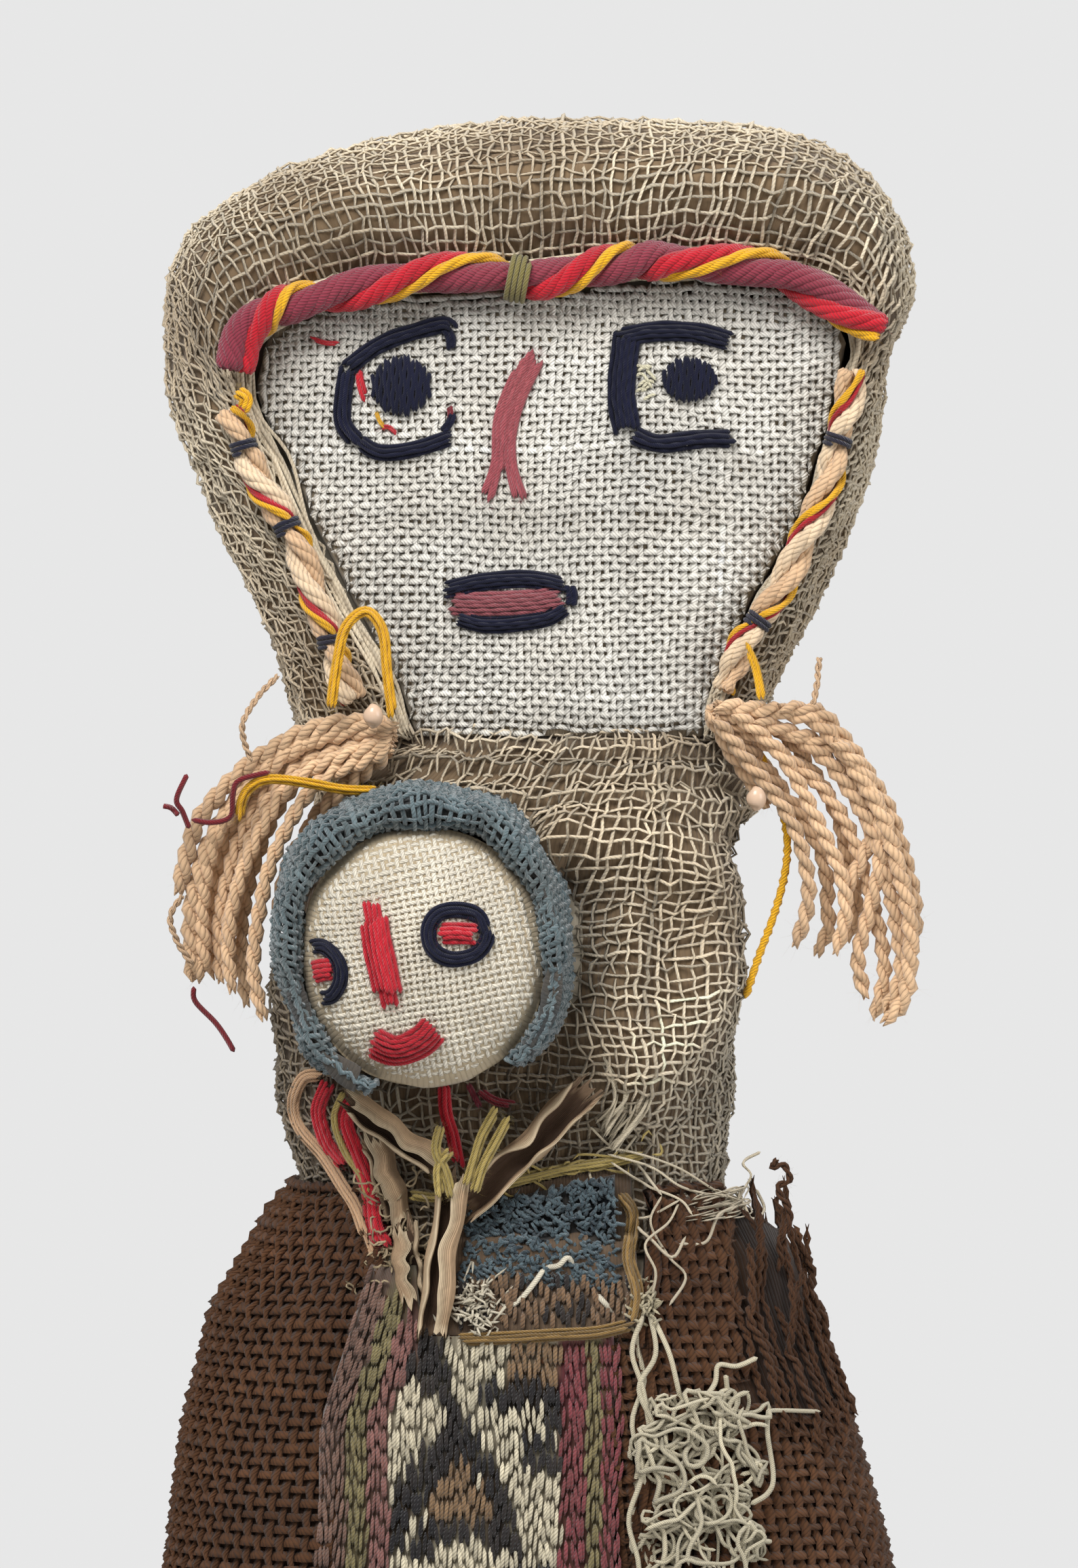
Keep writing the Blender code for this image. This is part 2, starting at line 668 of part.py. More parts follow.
def make_tunic(material):
    """Brown tunic, woven in one piece, worn through and ragged at the right shoulder."""
    columns = 36
    outer = []
    inner = []
    for share in (0.0, 0.20, 0.38, 0.56, 0.70, 0.82, 0.90, 0.95, 0.98, 1.0):
        out_ring = []
        in_ring = []
        whole = oval(*tunic(share * TUNIC_TOP), share * TUNIC_TOP, columns)
        for index, place in enumerate(whole):
            top = neckline(place[0]) if place[1] < 0 else TUNIC_TOP
            if place[0] > RAG_FROM and index % 2:
                top += RAG_RISE
            z = share * top
            half_width, half_depth, centre = tunic(min(z, TUNIC_TOP))
            out_ring.append(oval(half_width, half_depth, centre, z, columns)[index])
            in_ring.append(oval(half_width - TUNIC_WALL, half_depth - TUNIC_WALL, centre, z, columns)[index])
        outer.append(out_ring)
        inner.append(in_ring)
    outer = np.array(outer).transpose(1, 0, 2)
    inner = np.array(inner).transpose(1, 0, 2)
    return sheet("tunic", outer, inner, material, around=True)


def panel_edge(z):
    """Left edge of the woven panel, which leans inward above the waist."""
    return PANEL_LEFT + max(0.0, z - PANEL_LEAN_FROM) * PANEL_LEAN


def panel_top(x):
    return PANEL_TOP + min(PANEL_RISE, max(0.0, PANEL_CORNER - x) * PANEL_RISE / PANEL_STRIPES)


def make_strip(name, begin, end, columns, material):
    """One of the strips sewn side by side into the panel on the tunic's front."""
    outer = []
    for share in np.linspace(0, 1, columns):
        z = PANEL_TOP
        for _ in range(8):
            z = panel_top(begin(z) + share * (end(z) - begin(z)))
        line = []
        for rise in (0.0, 0.35, 0.6, 0.8, 0.92, 1.0):
            height = HEM_GAP + rise * (z - HEM_GAP)
            x = begin(height) + share * (end(height) - begin(height))
            line.append((x, tunic_front(x, height) - CLEAR - PANEL_WALL, height))
        outer.append(line)
    outer = np.array(outer)
    return sheet(name, outer, outer + np.array([0.0, PANEL_WALL, 0.0]), material)


def make_panel(mauve, figured, rosy):
    """Left stripes, figured field and right stripes, side by side."""
    border = PANEL_LEFT + PANEL_STRIPES + CLEAR + PANEL_FIELD

    def field_edge(z):
        return panel_edge(z) + PANEL_STRIPES + CLEAR

    make_strip("panel_left_stripes", panel_edge, lambda z: panel_edge(z) + PANEL_STRIPES, 4, mauve)
    make_strip("panel_figured_strip", field_edge, lambda z: border, 6, figured)
    make_strip("panel_right_stripes", lambda z: border + CLEAR, lambda z: border + CLEAR + PANEL_BORDER, 4, rosy)


def make_spine(material):
    """Reed that holds the head on the trunk."""
    bpy.ops.mesh.primitive_cylinder_add(vertices=12, radius=SPINE_REED, depth=SPINE_TOP - SPINE_FOOT,
                                        location=(SPINE_X, 0.0, (SPINE_TOP + SPINE_FOOT) / 2))
    reed = bpy.context.object
    reed.name = "spine_reed"
    reed.data.materials.append(material)
    return reed


def cut_for_spine(body):
    """A hole for the reed, with its clearance."""
    bpy.ops.mesh.primitive_cylinder_add(vertices=12, radius=SPINE_REED + CLEAR,
                                        depth=SPINE_TOP - SPINE_FOOT + 2 * CLEAR,
                                        location=(SPINE_X, 0.0, (SPINE_TOP + SPINE_FOOT) / 2))
    cutter = bpy.context.object
    cutter.name = body.name + "_cutter"
    cutter.hide_render = True
    cutter.display_type = "WIRE"
    cut = body.modifiers.new("Reed hole", "BOOLEAN")
    cut.operation = "DIFFERENCE"
    cut.solver = "EXACT"
    cut.object = cutter


def make_face_yarns(navy, rose, lips):
    """Embroidery on the face: eye rims, pupils, nose and mouth."""
    def sewn(name, shares, width, material, height=STITCH_HEIGHT):
        return stroke(name, head_places(shares), width, height, face_front, material)

    sewn("left_eye_rim", [(-0.25, 0.662), (-0.415, 0.639), (-0.52, 0.592), (-0.523, 0.534),
                          (-0.487, 0.482), (-0.431, 0.458), (-0.24, 0.482)], EYE_YARN, navy)
    sewn("right_eye_rim", [(0.506, 0.625), (0.40, 0.642), (0.26, 0.642), (0.223, 0.60), (0.223, 0.52),
                           (0.262, 0.478), (0.38, 0.471), (0.506, 0.482)], EYE_YARN, navy)
    for name, place, size in (("left_pupil", (-0.372, 0.568), PUPIL_LEFT),
                              ("right_pupil", (0.381, 0.572), PUPIL_RIGHT)):
        x, z = head_place(*place)
        angles = np.linspace(0, 2 * math.pi, 12, endpoint=False)
        disc = [(x + size / 2 * math.cos(a), z + size / 2 * math.sin(a)) for a in angles]
        pad(name, disc, STITCH_HEIGHT, face_front, navy)
    sewn("nose", [(0.0, 0.605), (-0.055, 0.54), (-0.08, 0.468), (-0.085, 0.395)], NOSE_YARN, rose, NOSE_HEIGHT)
    sewn("mouth_rim", [(-0.255, 0.238), (-0.16, 0.254), (-0.035, 0.257), (0.07, 0.245), (0.088, 0.213),
                       (0.066, 0.186), (-0.02, 0.172), (-0.144, 0.172), (-0.218, 0.181)], MOUTH_YARN, navy)
    sewn("lips", [(-0.238, 0.213), (-0.089, 0.212), (0.035, 0.214)], LIP_YARN, lips)


BAND_ROUTE = [
    (-0.797, 0.605), (-0.762, 0.662), (-0.694, 0.69), (-0.587, 0.71), (-0.445, 0.728), (-0.285, 0.742),
    (-0.142, 0.744), (-0.028, 0.744), (0.107, 0.752), (0.267, 0.764), (0.446, 0.763), (0.588, 0.756),
    (0.713, 0.728), (0.819, 0.684), (0.885, 0.655),
]
ROLL_LEFT = [(-0.828, 0.535), (-0.785, 0.50), (-0.685, 0.391), (-0.614, 0.281), (-0.569, 0.18), (-0.491, 0.075)]
ROLL_RIGHT = [(0.835, 0.585), (0.80, 0.50), (0.765, 0.43), (0.695, 0.314), (0.60, 0.204), (0.52, 0.10)]


def seam_path(shares, radius, count, lift=CLEAR):
    """A twist's middle line in front of the seam between the face cloth and the hood."""
    flat = smooth_path(head_places(shares), count)
    return np.array([(x, min(face_front(x, z), -FLAP_DEPTH) - CLEAR - lift - radius, z) for x, z in flat])


def squeeze_at(count, places, depth):
    """How a twist narrows where it is bound."""
    share = np.linspace(0, 1, count)
    scale = np.ones(count)
    for place in places:
        scale -= (1 - depth) * np.exp(-((share - place) / 0.035) ** 2)
    return scale


def make_headband(burgundy, red, yellow, olive):
    """Three yarns twisted together along the forehead, tied at the middle."""
    offset = turn_offset(BAND_BURGUNDY, BAND_PITCH) * 2 / math.sqrt(3)
    bundle = offset + BAND_BURGUNDY
    count = 43
    path = seam_path(BAND_ROUTE, bundle, count, BAND_LIFT)
    tie_share = 0.515
    scale = squeeze_at(count, [tie_share], 0.80)
    turn = 2 * math.pi / 3
    twisted_yarn("headband_burgundy", path, BAND_BURGUNDY, offset, 0.0, BAND_PITCH, burgundy, scale)
    twisted_yarn("headband_red", path, BAND_RED, offset, turn, BAND_PITCH, red, scale)
    twisted_yarn("headband_yellow", path, BAND_YELLOW, offset * 0.94, 2 * turn, BAND_PITCH, yellow, scale)
    index = round(tie_share * (count - 1))
    hole = bundle * scale[index] + CLEAR
    binding("headband_tie", path[index], path[index + 1] - path[index - 1], hole, TIE_WALL, TIE_WIDTH, olive)


def make_side_roll(side, shares, places, start, peach, yellow, navy):
    """Peach yarns twisted with a yellow one beside the face, bound with navy yarn."""
    count = 25
    offset = turn_offset(ROLL_PEACH, ROLL_PITCH)
    groove = math.sqrt((ROLL_PEACH + ROLL_YELLOW + 2 * CLEAR) ** 2 - offset ** 2 * 0.6)
    bundle = offset + ROLL_PEACH
    path = seam_path(shares, bundle + BINDING_YARN * 0.5, count, 0.0)
    scale = squeeze_at(count, places, BINDING_PINCH)
    twisted_yarn(side + "_roll_peach_front", path, ROLL_PEACH, offset, start, ROLL_PITCH, peach, scale)
    twisted_yarn(side + "_roll_peach_back", path, ROLL_PEACH, offset, start + math.pi, ROLL_PITCH, peach, scale)
    twisted_yarn(side + "_roll_yellow", path, ROLL_YELLOW, groove, start + math.pi / 2, ROLL_PITCH, yellow, scale)
    for number, place in enumerate(places, 1):
        index = round(place * (count - 1))
        hole = bundle * scale[index] + CLEAR
        binding(f"{side}_roll_binding_{number}", path[index], path[index + 1] - path[index - 1],
                hole, BINDING_YARN, 1.6 * BINDING_YARN, navy)


# Tassel strands: place in the root's bundle, place at the tips, and share of the length
TASSEL_STRANDS = [
    (-0.8, -0.4, -1.7, 0.66), (0.0, -0.45, -0.3, 0.93), (0.8, -0.4, 1.5, 1.0),
    (-0.45, 0.45, -0.9, 0.78), (0.45, 0.45, 0.6, 0.86),
]


def joined(body, others):
    """The others grown into the body by unions, so that all is one solid."""
    for other in others:
        other.hide_render = True
        other.display_type = "WIRE"
        union = body.modifiers.new("Join " + other.name, "BOOLEAN")
        union.operation = "UNION"
        union.solver = "EXACT"
        union.object = other
    return body


def make_tassel(side, route, material):
    """Loose ends of the peach yarns, hanging in a bunch from the jaw."""
    middle = smooth_path(route, 13)
    heading = np.gradient(middle, axis=0)
    across = np.column_stack([heading[:, 2], np.zeros(len(middle)), -heading[:, 0]])
    across /= np.linalg.norm(across, axis=1, keepdims=True)
    unit = 2 * TASSEL_YARN + CLEAR
    share = np.linspace(0, 1, len(middle))[:, None]
    ease = share * share * (3 - 2 * share)
    strands = []
    for number, (root, depth, tip, length) in enumerate(TASSEL_STRANDS, 1):
        spread = (root + (tip * TASSEL_SPREAD / 2 - root) * ease) * unit
        path = middle + across * spread + np.array([0.0, depth * unit, 0.0])
        steps = max(8, round(length * len(path)))
        strands.append(plied_strand(f"{side}_strand_{number}", path[:steps], TASSEL_YARN, TASSEL_LAY, material))
    root = plied_strand(f"{side}_tassel", middle[:3], TASSEL_ROOT, TASSEL_LAY, material, taper=0.85, waist=0.0)
    return joined(root, strands)


def baby_place(across, up):
    """A place on the baby's head from distances along its own leaning axes."""
    c, s = math.cos(BABY_TILT), math.sin(BABY_TILT)
    return (BABY_X + across * c - up * s, BABY_Z + across * s + up * c)


def baby_oval(half_width, half_height, drop, angles):
    """Points of the baby's outline; an angle of 0 is the crown."""
    places = []
    for angle in angles:
        s, c = math.sin(angle), math.cos(angle)
        reach = ((abs(s) / half_width) ** BABY_ROUND + (abs(c) / half_height) ** BABY_ROUND) ** (-1 / BABY_ROUND)
        places.append(baby_place(reach * s, reach * c - drop))
    return places


BABY_FACE_SHARE = 0.81
BABY_FACE_DROP = 1.6 * MM


def baby_front(x, z):
    """Outside of the baby's face cloth, a shallow dome."""
    c, s = math.cos(BABY_TILT), math.sin(BABY_TILT)
    across = (x - BABY_X) * c + (z - BABY_Z) * s
    up = -(x - BABY_X) * s + (z - BABY_Z) * c + BABY_FACE_DROP
    share = math.hypot(across / (BABY_WIDTH / 2), up / (BABY_HEIGHT / 2)) / BABY_FACE_SHARE
    return -BABY_FACE_EDGE - BABY_CROWN * max(0.0, 1 - share ** 2) ** 0.6


def lens(name, outline, ahead, behind, material):
    """A closed body between a front and a back surface inside one outline."""
    edge = np.array(outline, float)
    centre = edge.mean(axis=0)
    count = len(edge)
    points = []
    for surface in (ahead, behind):
        for share in (1.0, 0.9, 0.65, 0.35):
            points += [(x, surface(x, z), z) for x, z in centre + (edge - centre) * share]
        points.append((centre[0], surface(*centre), centre[1]))
    step = 4 * count + 1
    faces = []
    for base in (0, step):
        for ring in range(3):
            outside = [base + ring * count + k for k in range(count)]
            faces += strip_faces(outside, [k + count for k in outside], True)
        inner = [base + 3 * count + k for k in range(count)]
        faces += [(inner[k], inner[(k + 1) % count], base + 4 * count) for k in range(count)]
    faces += strip_faces(list(range(count)), [step + k for k in range(count)], True)
    return solid(name, points, faces, material)


BABY_HOOD_SECTION = [(0.02, 0.86), (0.14, 0.98), (0.5, 1.0), (0.88, 0.86), (1.0, 0.68)]


def make_baby_head(cloth, stuffing, fuzzy):
    """The baby's stuffed head: cloth face, and a woollen hood round it."""
    angles = np.linspace(0, 2 * math.pi, 20, endpoint=False)
    half_width = BABY_WIDTH / 2 * BABY_FACE_SHARE
    half_height = BABY_HEIGHT / 2 * BABY_FACE_SHARE
    outline = baby_oval(half_width, half_height, BABY_FACE_DROP, angles)
    lens("baby_face", outline, baby_front, lambda x, z: baby_front(x, z) + BABY_FACE_WALL, cloth)
    lens("baby_head_pad", outline, lambda x, z: baby_front(x, z) + BABY_FACE_WALL + CLEAR,
         lambda x, z: chest_front(x, z) - CLEAR, stuffing)
    sweep = np.linspace(math.radians(-148), math.radians(148), 23)
    inner = baby_oval(half_width + 2 * CLEAR, half_height + 2 * CLEAR, BABY_FACE_DROP, sweep)
    outer = baby_oval(BABY_WIDTH / 2, BABY_HEIGHT / 2, 0.0, sweep)
    rings = []
    for (x0, z0), (x1, z1) in zip(inner, outer):
        ring = [(x0 + (x1 - x0) * reach, -depth * BABY_HOOD_FRONT, z0 + (z1 - z0) * reach)
                for reach, depth in BABY_HOOD_SECTION]
        for reach in (0.94, 0.5, 0.0):
            x, z = x0 + (x1 - x0) * reach, z0 + (z1 - z0) * reach
            ring.append((x, chest_front(x, z) - CLEAR, z))
        rings.append(ring)
    loft("baby_hood", rings, fuzzy)


def make_baby_yarns(navy, red):
    """Embroidery on the baby's face."""
    half_width = BABY_WIDTH / 2
    half_height = BABY_HEIGHT / 2

    def places(shares):
        return [baby_place(across * half_width, up * half_height) for across, up in shares]

    stroke("baby_nose", places([(-0.27, 0.36), (-0.27, 0.0), (-0.27, -0.36)]), BABY_NOSE, STITCH_HEIGHT,
           baby_front, red, tip=0.3)
    stroke("baby_mouth", places([(-0.42, -0.50), (-0.28, -0.63), (-0.08, -0.62), (0.04, -0.50)]),
           BABY_MOUTH, STITCH_HEIGHT, baby_front, red, tip=0.4)
    ring = [(0.26 + 0.19 * math.sin(a), 0.02 + 0.165 * math.cos(a))
            for a in np.linspace(math.radians(100), math.radians(425), 12)]
    stroke("baby_right_eye_rim", places(ring), BABY_EYE_YARN, STITCH_HEIGHT, baby_front, navy, count=15)
    stroke("baby_right_eye", places([(0.17, 0.02), (0.35, 0.02)]), BABY_BAR, STITCH_HEIGHT, baby_front, red,
           count=4)
    stroke("baby_left_eye", places([(-0.66, 0.12), (-0.52, 0.06), (-0.50, -0.08), (-0.64, -0.17)]),
           BABY_EYE_YARN, STITCH_HEIGHT, baby_front, navy, count=8)


def make_reed(name, start, stop, radius, opening, facing, material, ragged):
    """A length of split reed: a thin tube, slit or broken open along one side."""
    start = np.array(start)
    direction = np.array(stop) - start
    length = np.linalg.norm(direction)
    direction /= length
    side = np.cross(direction, (0.0, -1.0, 0.0))
    side /= np.linalg.norm(side)
    up = np.cross(side, direction)
    angles = np.linspace(facing + opening / 2, facing + 2 * math.pi - opening / 2, 9)
    grids = []
    for reach in (radius, radius - REED_WALL):
        grid = []
        for angle in angles:
            spoke = reach * (math.cos(angle) * side + math.sin(angle) * up)
            end = length - ragged * (0.5 + 0.5 * math.sin(5.0 * angle))
            grid.append([start + direction * end * share + spoke for share in (0.0, 0.5, 1.0)])
        grids.append(grid)
    return sheet(name, np.array(grids[0]), np.array(grids[1]), material)


# Routes on the front of the doll, seen from the front, in millimetres from the middle of the base
ARM_ROUTE = [(15.6, 200.8), (17.6, 196.6), (18.6, 190.5), (17.6, 183.0), (14.8, 177.5), (12.0, 174.2)]
OLIVE_BAND_ROUTE = [(-3.4, 158.2), (2.0, 160.2), (7.0, 161.8), (12.0, 162.6)]
NECK_YARN_ROUTE = [(-9.3, 170.4), (-8.9, 167.5), (-8.2, 164.6)]
LASH_LEFT_ROUTE = [(-11.4, 165.0), (-10.4, 161.2), (-9.6, 157.2)]
LASH_RIGHT_ROUTE = [(-1.4, 166.0), (-2.6, 163.2), (-3.6, 159.6)]
PATCH_OUTLINE = [(-5.6, 155.3), (-1.5, 156.4), (4.0, 157.9), (10.6, 159.4), (11.0, 153.0), (10.8, 146.6),
                 (3.0, 146.2), (-5.8, 146.0), (-6.0, 151.0)]
BORDER_ROUTE = [(13.4, 158.0), (13.9, 150.0), (13.6, 144.2), (8.0, 143.4), (0.0, 143.2), (-6.2, 143.0)]
# Sleeve and broken reeds: share of the way from the left side of the baby's hood to the body reed, height
SLEEVE_ROUTE = [(0.2647, 173.5), (0.1275, 171.0), (0.1078, 167.0), (0.1961, 163.2), (0.3333, 160.6),
                (0.4216, 157.0), (0.4706, 153.5)]
SLEEVE_RED_ROUTE = [(0.4706, 168.6), (0.4559, 166.2), (0.4804, 163.0), (0.5294, 158.5), (0.5784, 154.5),
                    (0.6373, 152.2)]
UPPER_BREAK_ROUTE = [(0.6225, 162.6), (0.7206, 155.4)]
LOWER_BREAK_ROUTE = [(0.7745, 152.8), (0.8039, 146.2)]
LEFT_ARM_ROUTE = [(-19.6, 168.6), (-11.6, 162.6)]
RIGHT_ARM_ROUTE = [(-6.5, 157.7), (6.4, 170.6)]
BODY_REED_ROUTE = [(-9.6, 158.6), (-10.9, 142.0)]
TASSEL_RIGHT_ROUTE = [(26.4, -18.0, 219.5), (29.9, -18.4, 212.6), (35.8, -16.0, 208.2), (39.9, -13.5, 201.6),
                      (42.0, -11.5, 193.4), (42.6, -10.5, 186.0), (42.0, -10.0, 179.4)]
TASSEL_LEFT_ROUTE = [(-19.4, -20.4, 216.6), (-24.0, -20.8, 213.0), (-30.0, -19.0, 208.6), (-34.6, -16.0, 203.0),
                     (-37.4, -13.5, 196.0), (-38.2, -12.0, 188.6), (-37.6, -11.0, 181.4)]
CORD_RIGHT_ROUTE = [(29.2, -15.0, 212.4), (29.9, -14.6, 210.2), (31.0, -13.8, 207.4), (32.2, -13.2, 204.0),
                    (32.6, -13.0, 200.6), (32.2, -12.8, 196.8), (30.9, -12.6, 192.0), (29.0, -12.4, 186.8),
                    (27.4, -12.2, 181.8)]
SHOULDER_ROUTE = [(31.0, -11.9, 151.4), (32.4, -11.6, 153.6), (31.8, -11.4, 156.4), (32.4, -11.4, 158.6),
                  (31.6, -11.2, 161.4)]


def in_metres(route):
    """A route given in millimetres, in metres."""
    return [tuple(value * MM for value in place) for place in route]


def beside_baby(route):
    """A route between the left side of the baby's hood and the body reed's top, in metres."""
    side = BABY_X - BABY_WIDTH / 2
    reed = BODY_REED_ROUTE[0][0] * MM
    return [(side + share * (reed - side), z * MM) for share, z in route]


def rest_depth(places, radius):
    """How far forward a straight reed lies to clear the cloths under it."""
    deepest = 0.0
    for x, z in places:
        cloth = front(x, z) if z > NECK_EDGE else tunic_front(x, z)
        deepest = min(deepest, cloth)
    return deepest - 2 * CLEAR - max(PATCH_WALL, PANEL_WALL) - radius


def make_reeds(reed):
    """Split reeds that stand for the arms and the baby's body, lashed where they cross."""
    left_arm, right_arm, body = (in_metres(route) for route in (LEFT_ARM_ROUTE, RIGHT_ARM_ROUTE, BODY_REED_ROUTE))
    upper, lower = beside_baby(UPPER_BREAK_ROUTE), beside_baby(LOWER_BREAK_ROUTE)
    arm_y = rest_depth(left_arm + right_arm, REED) - 2 * SLEEVE_YARN
    foot_y = rest_depth(body, REED)
    side_y = rest_depth(upper, REED)
    for name, route, near_y, far_y, radius, slit, facing, ragged in (
            ("left_arm_reed", left_arm, arm_y, arm_y, REED, 50, 124, 0.0),
            ("right_arm_reed", right_arm, arm_y, arm_y, 1.15 * REED, 130, 119, 0.0),
            ("body_reed", body, arm_y, foot_y, REED, 40, 90, 0.0),
            ("broken_reed_upper", upper, side_y, side_y, REED, 60, 67, UPPER_BREAK),
            ("broken_reed_lower", lower, side_y, foot_y, REED, 60, 113, LOWER_BREAK)):
        (x0, z0), (x1, z1) = route
        make_reed(name, (x0, near_y, z0), (x1, far_y, z1), radius, math.radians(slit), math.radians(facing),
                  reed, ragged)
    return arm_y


def make_front_trim(olive, red, peach, blue, ochre, arm_y):
    """Yarns, lashings and the looped patch below the baby."""
    for name, route, radius, count, colour in (("sleeve_edge", SLEEVE_ROUTE, SLEEVE_ROLL, 20, peach),
                                               ("sleeve_red", SLEEVE_RED_ROUTE, SLEEVE_YARN, 14, red)):
        yarn(name, laid(beside_baby(route), front, radius, count), radius, colour)
    yarn("neck_yarn", laid(in_metres(NECK_YARN_ROUTE), trunk_front, LASHING, 6), LASHING, red)
    yarn("olive_band", laid(in_metres(OLIVE_BAND_ROUTE), front, LASHING, 10), LASHING, olive)
    ahead = arm_y - REED - CLEAR - LASHING
    for name, route, extra in (("lashing_left", LASH_LEFT_ROUTE, 0.0),
                               ("lashing_right", LASH_RIGHT_ROUTE, 0.15 * REED)):
        flat = smooth_path(in_metres(route), 7)
        yarn(name, [(x, ahead - extra, z) for x, z in flat], LASHING, olive)
    pad("blue_patch", smooth_path(in_metres(PATCH_OUTLINE), 22, closed=True), PATCH_WALL, front, blue)
    yarn("ochre_border", laid(in_metres(BORDER_ROUTE), tunic_front, BORDER_YARN, 18), BORDER_YARN, ochre)


def make_tangle(material):
    """Frayed white threads beside the panel, drawn as one thread that doubles back."""
    route = []
    for row in range(TANGLE_ROWS):
        z = TANGLE_TOP - row * TANGLE_STEP
        ends = (TANGLE_LEFT, TANGLE_RIGHT) if row % 2 == 0 else (TANGLE_RIGHT, TANGLE_LEFT)
        for share in (0.0, 0.33, 0.66, 1.0):
            x = ends[0] + share * (ends[1] - ends[0])
            route.append((x, z + 0.16 * TANGLE_STEP * math.sin(7.0 * share + row)))
    yarn("white_tangle", laid(route, tunic_front, TANGLE_YARN, 8 * TANGLE_ROWS), TANGLE_YARN, material,
         sides=0)


def build():
    clear_scene()
    gauze = finish("gauze", (0.30, 0.25, 0.17))
    white = finish("white cloth", (0.68, 0.65, 0.57))
    cotton = finish("cotton stuffing", (0.60, 0.52, 0.40))
    navy = finish("navy yarn", (0.010, 0.012, 0.035))
    rose = finish("rose yarn", (0.38, 0.09, 0.10))
    lips = finish("dull rose yarn", (0.26, 0.07, 0.09))
    burgundy = finish("burgundy yarn", (0.20, 0.035, 0.07))
    red = finish("red yarn", (0.55, 0.012, 0.025))
    yellow = finish("yellow yarn", (0.85, 0.42, 0.012))
    olive = finish("olive yarn", (0.22, 0.18, 0.06))
    peach = finish("peach yarn", (0.68, 0.42, 0.25))
    brown = finish("brown cloth", (0.085, 0.035, 0.014))
    mauve = finish("striped cloth", (0.19, 0.10, 0.09))
    figured = finish("figured cloth", (0.34, 0.27, 0.18))
    rosy = finish("rose striped cloth", (0.24, 0.06, 0.06))
    wool = finish("blue wool", (0.10, 0.15, 0.17))
    pale = finish("cream cloth", (0.78, 0.73, 0.60))
    reed = finish("reed", (0.52, 0.37, 0.24), 0.7)
    ochre = finish("ochre wool", (0.20, 0.10, 0.025))

    head_pad = make_head_pad(cotton)
    make_face_cloth(white)
    make_hood(gauze)
    stuffing = make_stuffing(cotton)
    make_trunk_gauze(gauze)
    make_neck_wrap(gauze)
    make_spine(reed)
    cut_for_spine(head_pad)
    cut_for_spine(stuffing)
    make_face_yarns(navy, rose, lips)
    make_headband(burgundy, red, yellow, olive)
    make_side_roll("left", ROLL_LEFT, (0.12, 0.40, 0.80), 0.0, peach, yellow, navy)
    make_side_roll("right", ROLL_RIGHT, (0.25, 0.80), 0.5, peach, yellow, navy)
    make_tassel("left", in_metres(TASSEL_LEFT_ROUTE), peach)
    make_tassel("right", in_metres(TASSEL_RIGHT_ROUTE), peach)
    yarn("yellow_cord", smooth_path(in_metres(CORD_RIGHT_ROUTE), 17), CORD_YARN, yellow, sides=2)

    make_tunic(brown)
    make_panel(mauve, figured, rosy)
    make_tangle(pale)

    stroke("arm_gauze", in_metres(ARM_ROUTE), ARM_WIDTH, ARM_HEIGHT, trunk_front, gauze, columns=9, count=14,
           tip=0.62)
    make_baby_head(pale, cotton, wool)
    make_baby_yarns(navy, red)
    arm_y = make_reeds(reed)
    make_front_trim(olive, red, peach, wool, ochre, arm_y)
    yarn("shoulder_thread", smooth_path(in_metres(SHOULDER_ROUTE), 12), SHOULDER_YARN, brown)


build()
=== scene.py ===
"""Burial doll: a stuffed cloth figure that holds a smaller one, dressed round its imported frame."""
import math

import bpy
import numpy as np
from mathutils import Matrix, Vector


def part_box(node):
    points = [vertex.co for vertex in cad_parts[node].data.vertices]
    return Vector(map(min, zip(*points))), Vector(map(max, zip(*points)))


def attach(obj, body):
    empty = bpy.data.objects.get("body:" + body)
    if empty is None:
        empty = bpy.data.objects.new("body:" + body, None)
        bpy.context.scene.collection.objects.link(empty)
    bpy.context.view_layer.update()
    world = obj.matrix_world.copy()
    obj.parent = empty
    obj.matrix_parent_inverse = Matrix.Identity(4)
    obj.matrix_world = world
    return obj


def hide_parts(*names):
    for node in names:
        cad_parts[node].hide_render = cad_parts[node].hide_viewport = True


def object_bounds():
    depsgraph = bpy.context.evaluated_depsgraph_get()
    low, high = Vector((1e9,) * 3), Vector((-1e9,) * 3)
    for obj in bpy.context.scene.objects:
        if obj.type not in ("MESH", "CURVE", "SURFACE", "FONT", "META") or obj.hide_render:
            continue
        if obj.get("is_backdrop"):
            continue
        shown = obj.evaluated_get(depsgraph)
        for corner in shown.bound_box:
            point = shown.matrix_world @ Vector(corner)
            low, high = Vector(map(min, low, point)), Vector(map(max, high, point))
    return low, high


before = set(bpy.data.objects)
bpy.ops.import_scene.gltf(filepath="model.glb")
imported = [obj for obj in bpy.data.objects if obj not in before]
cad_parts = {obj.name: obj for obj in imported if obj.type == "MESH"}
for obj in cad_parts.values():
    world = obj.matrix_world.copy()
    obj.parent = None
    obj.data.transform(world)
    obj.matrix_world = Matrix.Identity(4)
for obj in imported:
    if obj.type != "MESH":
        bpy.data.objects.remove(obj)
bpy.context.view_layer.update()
scene = bpy.context.scene
scene.view_settings.view_transform = "Standard"
rng = np.random.default_rng(7)

# Camera: level with the faces, far enough away that the head shows no perspective.
# It stands over the middle of the picture, and 12 pixels of the picture are one millimetre
# at the front of the face.
MM = 0.001
PICTURE_HIGH = 192.7
PIXELS_PER_MM, PICTURE_MIDDLE, PICTURE_TOP = 12, 771, 304.67
CAMERA_AWAY = 1000.0
AIM_X, AIM_Y, AIM_Z = 1.96, -17.0, 208.3

